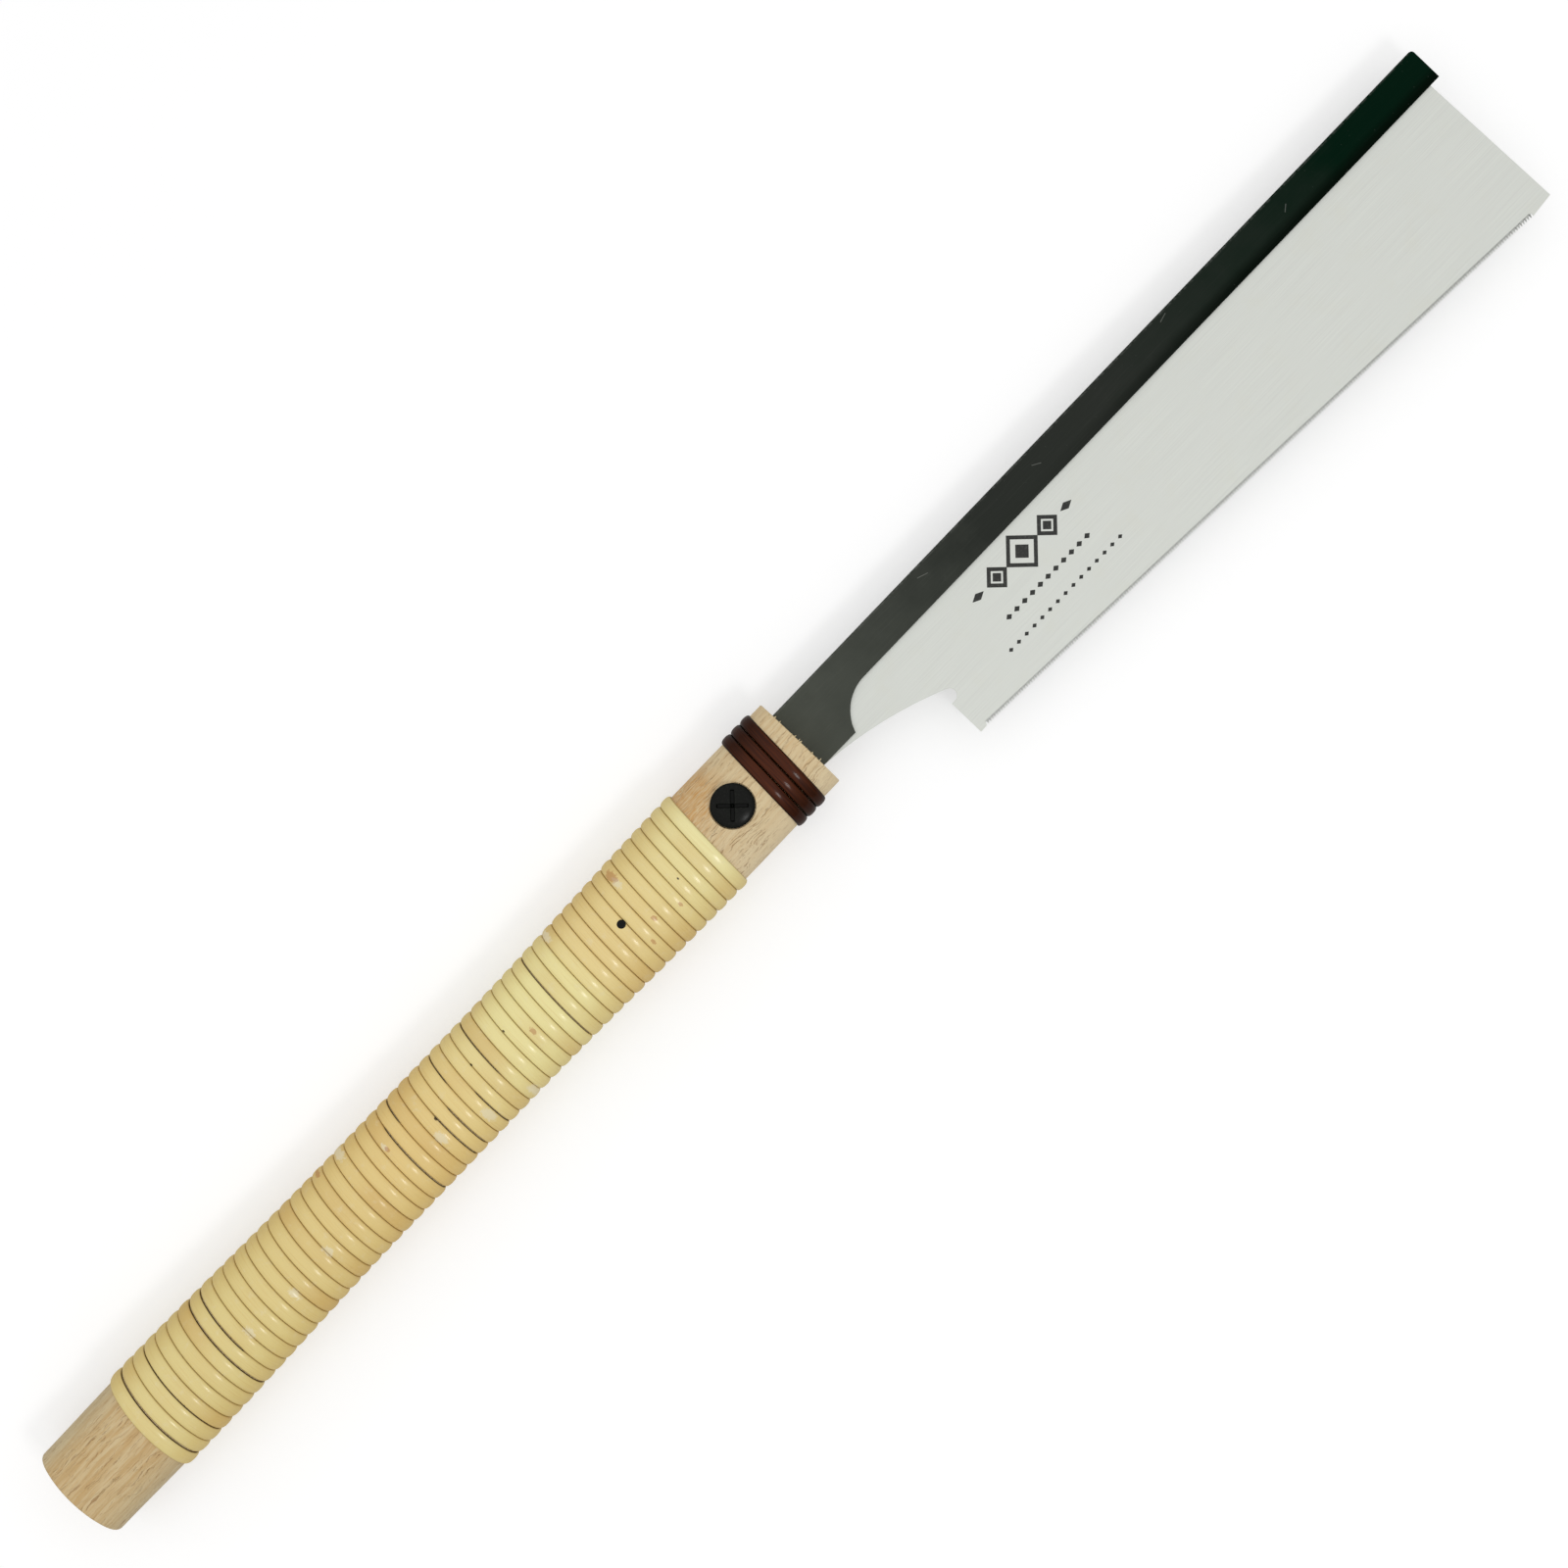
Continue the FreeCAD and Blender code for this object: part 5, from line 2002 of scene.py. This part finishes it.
class Studio:
    """Floor, soft light and the camera."""

    key_lean: float = 32.0
    key_distance: float = 1.6
    key_size: float = 0.34
    key_power: float = 3.4
    world_level: float = 0.90
    horizon_level: float = 0.34
    sky_tilt: float = 12.0
    zenith_level: float = 1.0
    height: float = 0.80
    span: float = 0.5024
    aim: Point2 = (-13.1, -5.4)
    turn: float = -46.2
    sensor: float = 36.0

    def build(self, effects: Effects) -> None:
        """Sets up everything that isn't the saw.

        Args:
            effects: The shared shader groups.
        """
        self._tone()
        self._floor(effects)
        self._light()
        self._camera()

    def _tone(self) -> None:
        """Shows colours as they are, without a film curve."""
        bpy.context.scene.view_settings.view_transform = "Standard"

    def _floor(self, effects: Effects) -> None:
        """Lays the pale floor."""
        mesh = bpy.data.meshes.new("studio_floor")
        half = 4.0
        mesh.from_pydata([(-half, -half, 0), (half, -half, 0), (half, half, 0), (-half, half, 0)],
                         [], [(0, 1, 2, 3)])
        floor = bpy.data.objects.new("studio_floor", mesh)
        bpy.context.scene.collection.objects.link(floor)
        floor.location.z = -0.0002
        mesh.materials.append(PaperFinish().build(effects))

    def _light(self) -> None:
        """Hangs the soft key over the side of the teeth and fills with an even white sky."""
        world = bpy.data.worlds.new("studio")
        world.use_nodes = True
        sky = world.node_tree.nodes["Background"]
        graph = Graph(world.node_tree)
        tilt = math.radians(self.sky_tilt)
        height = graph.vector("DOT_PRODUCT", graph.node("ShaderNodeTexCoord").outputs["Generated"],
                              (0.0, math.sin(tilt), math.cos(tilt)), result=1)
        dim, full = self.horizon_level, self.zenith_level
        level = graph.ramp(height, ((0.0, (dim, dim, dim)), (0.75, (full, full, full))))
        seen = graph.node("ShaderNodeLightPath").outputs["Is Camera Ray"]
        graph.feed(sky.inputs["Color"], graph.mix(seen, level, (1.0, 1.0, 1.0)))
        sky.inputs["Strength"].default_value = self.world_level
        bpy.context.scene.world = world
        lamp = bpy.data.lights.new("key", "AREA")
        lamp.shape = "DISK"
        lamp.size = self.key_size
        lamp.energy = self.key_power
        key = bpy.data.objects.new("key", lamp)
        lean = math.radians(self.key_lean)
        away = Vector((0.0, -math.sin(lean), math.cos(lean))) * self.key_distance
        key.location = away
        key.rotation_euler = (lean, 0.0, 0.0)
        bpy.context.scene.collection.objects.link(key)

    def _camera(self) -> None:
        """Looks straight down, with the saw running up to the right."""
        seat = HandleSeat.read().origin
        lens = bpy.data.cameras.new("camera")
        lens.sensor_width = self.sensor
        lens.lens = self.sensor * self.height / self.span
        lens.clip_start = 0.05
        lens.clip_end = 20.0
        camera = bpy.data.objects.new("camera", lens)
        camera.location = seat + Vector((self.aim[0] * MM, self.aim[1] * MM, self.height))
        camera.rotation_euler = (0.0, 0.0, math.radians(self.turn))
        bpy.context.scene.collection.objects.link(camera)
        bpy.context.scene.camera = camera


GRIP_GAPS = (
    OpenGap(1.0, -0.30, 0.30, 0.42),
    OpenGap(3.0, -0.25, 0.28, 0.16),
    OpenGap(7.0, -0.28, 0.30, 0.34),
    OpenGap(8.0, -0.06, 0.30, 0.32),
    OpenGap(24.0, -0.25, 0.12, 0.30),
    OpenGap(25.0, 0.10, 0.25, 0.26),
    OpenGap(27.0, -0.22, 0.02, 0.24),
    OpenGap(28.0, -0.20, 0.0, 0.30),
    OpenGap(29.0, 0.06, 0.26, 0.18),
    OpenGap(30.0, -0.24, -0.02, 0.20),
    OpenGap(32.0, -0.05, 0.25, 0.18),
    OpenGap(38.0, -0.2, 0.22, 0.24),
)


class Saw:
    """The whole saw, dressed and riding on the CAD bodies."""

    def __init__(self, effects: Effects) -> None:
        """Builds the finishes.

        Args:
            effects: The shared shader groups.
        """
        self.oak = OakFinish().build(effects)
        self.torn_oak = OakFinish("oak_torn", srgb(240, 228, 190), srgb(232, 214, 168),
                                  srgb(226, 200, 146), srgb(208, 178, 122),
                                  srgb(236, 224, 186)).build(effects)
        self.cane = CaneFinish().build(effects)
        self.dark_cane = DarkCaneFinish().build(effects)
        self.black_steel = BlackSteelFinish().build(effects)
        self.blade_steel = BladeFinish().build(effects, Plate())
        self.oxide = HardwareFinish().build(effects)
        self.recessed = HardwareFinish("steel_recessed", recess=4.7).build(effects)
        self.ink = PrintFinish().build(effects)

    def dress(self, piece: bpy.types.Object, material: bpy.types.Material, mover: Mover,
              slot: Slot, part: Optional[Part] = None) -> None:
        """Gives a piece its finish and its body, and hides the CAD node it stands for.

        Args:
            piece: The piece.
            material: Its finish.
            mover: The body it rides on.
            slot: The record's slot for its finish; not used.
            part: The CAD node it stands for, if any.
        """
        piece.data.materials.clear()
        piece.data.materials.append(material)
        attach(piece, mover.value)
        if part is not None:
            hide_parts(part.value)
        log.info("%s: %d faces on %s", piece.name, len(piece.data.polygons), mover.value)

    def build(self) -> None:
        """Builds every piece, from the handle forward."""
        handle = Handle()
        self.dress(handle.build(), self.oak, Mover.HANDLE, Slot.OAK, Part.WOOD)
        self.dress(handle.build_splinters(), self.torn_oak, Mover.HANDLE, Slot.OAK)
        grip = Winding("cane_grip", 42.3, 53, 5.18, 4.58, 1.25, gaps=GRIP_GAPS)
        self.dress(grip.build(), self.cane, Mover.HANDLE, Slot.RATTAN, Part.GRIP)
        binding = Winding("dark_binding", 6.0, 3, 4.2, 4.2, 1.1, wander=0.1, sag=0.08, seed=9,
                          squareness=2.2)
        self.dress(binding.build(), self.dark_cane, Mover.HANDLE, Slot.DARK_CANE, Part.BINDING)
        self.dress(Nut().build(), self.oxide, Mover.HANDLE, Slot.BLACK_HARDWARE, Part.NUT)
        self.dress(Pin().build(), self.oxide, Mover.HANDLE, Slot.BLACK_HARDWARE, Part.PIN)
        self.dress(Spine().build(), self.black_steel, Mover.BLADE, Slot.BLACK_STEEL, Part.SPINE)
        self.dress(Plate().build(), self.blade_steel, Mover.BLADE, Slot.BLADE_STEEL, Part.PLATE)
        self.dress(LozengePrint().build(), self.ink, Mover.BLADE, Slot.BLADE_STEEL)
        self.dress(Washer().build(), self.oxide, Mover.LIFT, Slot.BLACK_HARDWARE, Part.WASHER)
        self.dress(Screw().build(), self.recessed, Mover.SCREW, Slot.BLACK_HARDWARE, Part.SCREW)


def main() -> None:
    """Builds the saw, then the studio."""
    logging.basicConfig(level=logging.INFO, format="%(message)s")
    effects = Effects()
    Saw(effects).build()
    Studio().build(effects)


if __name__ == "__main__":
    main()
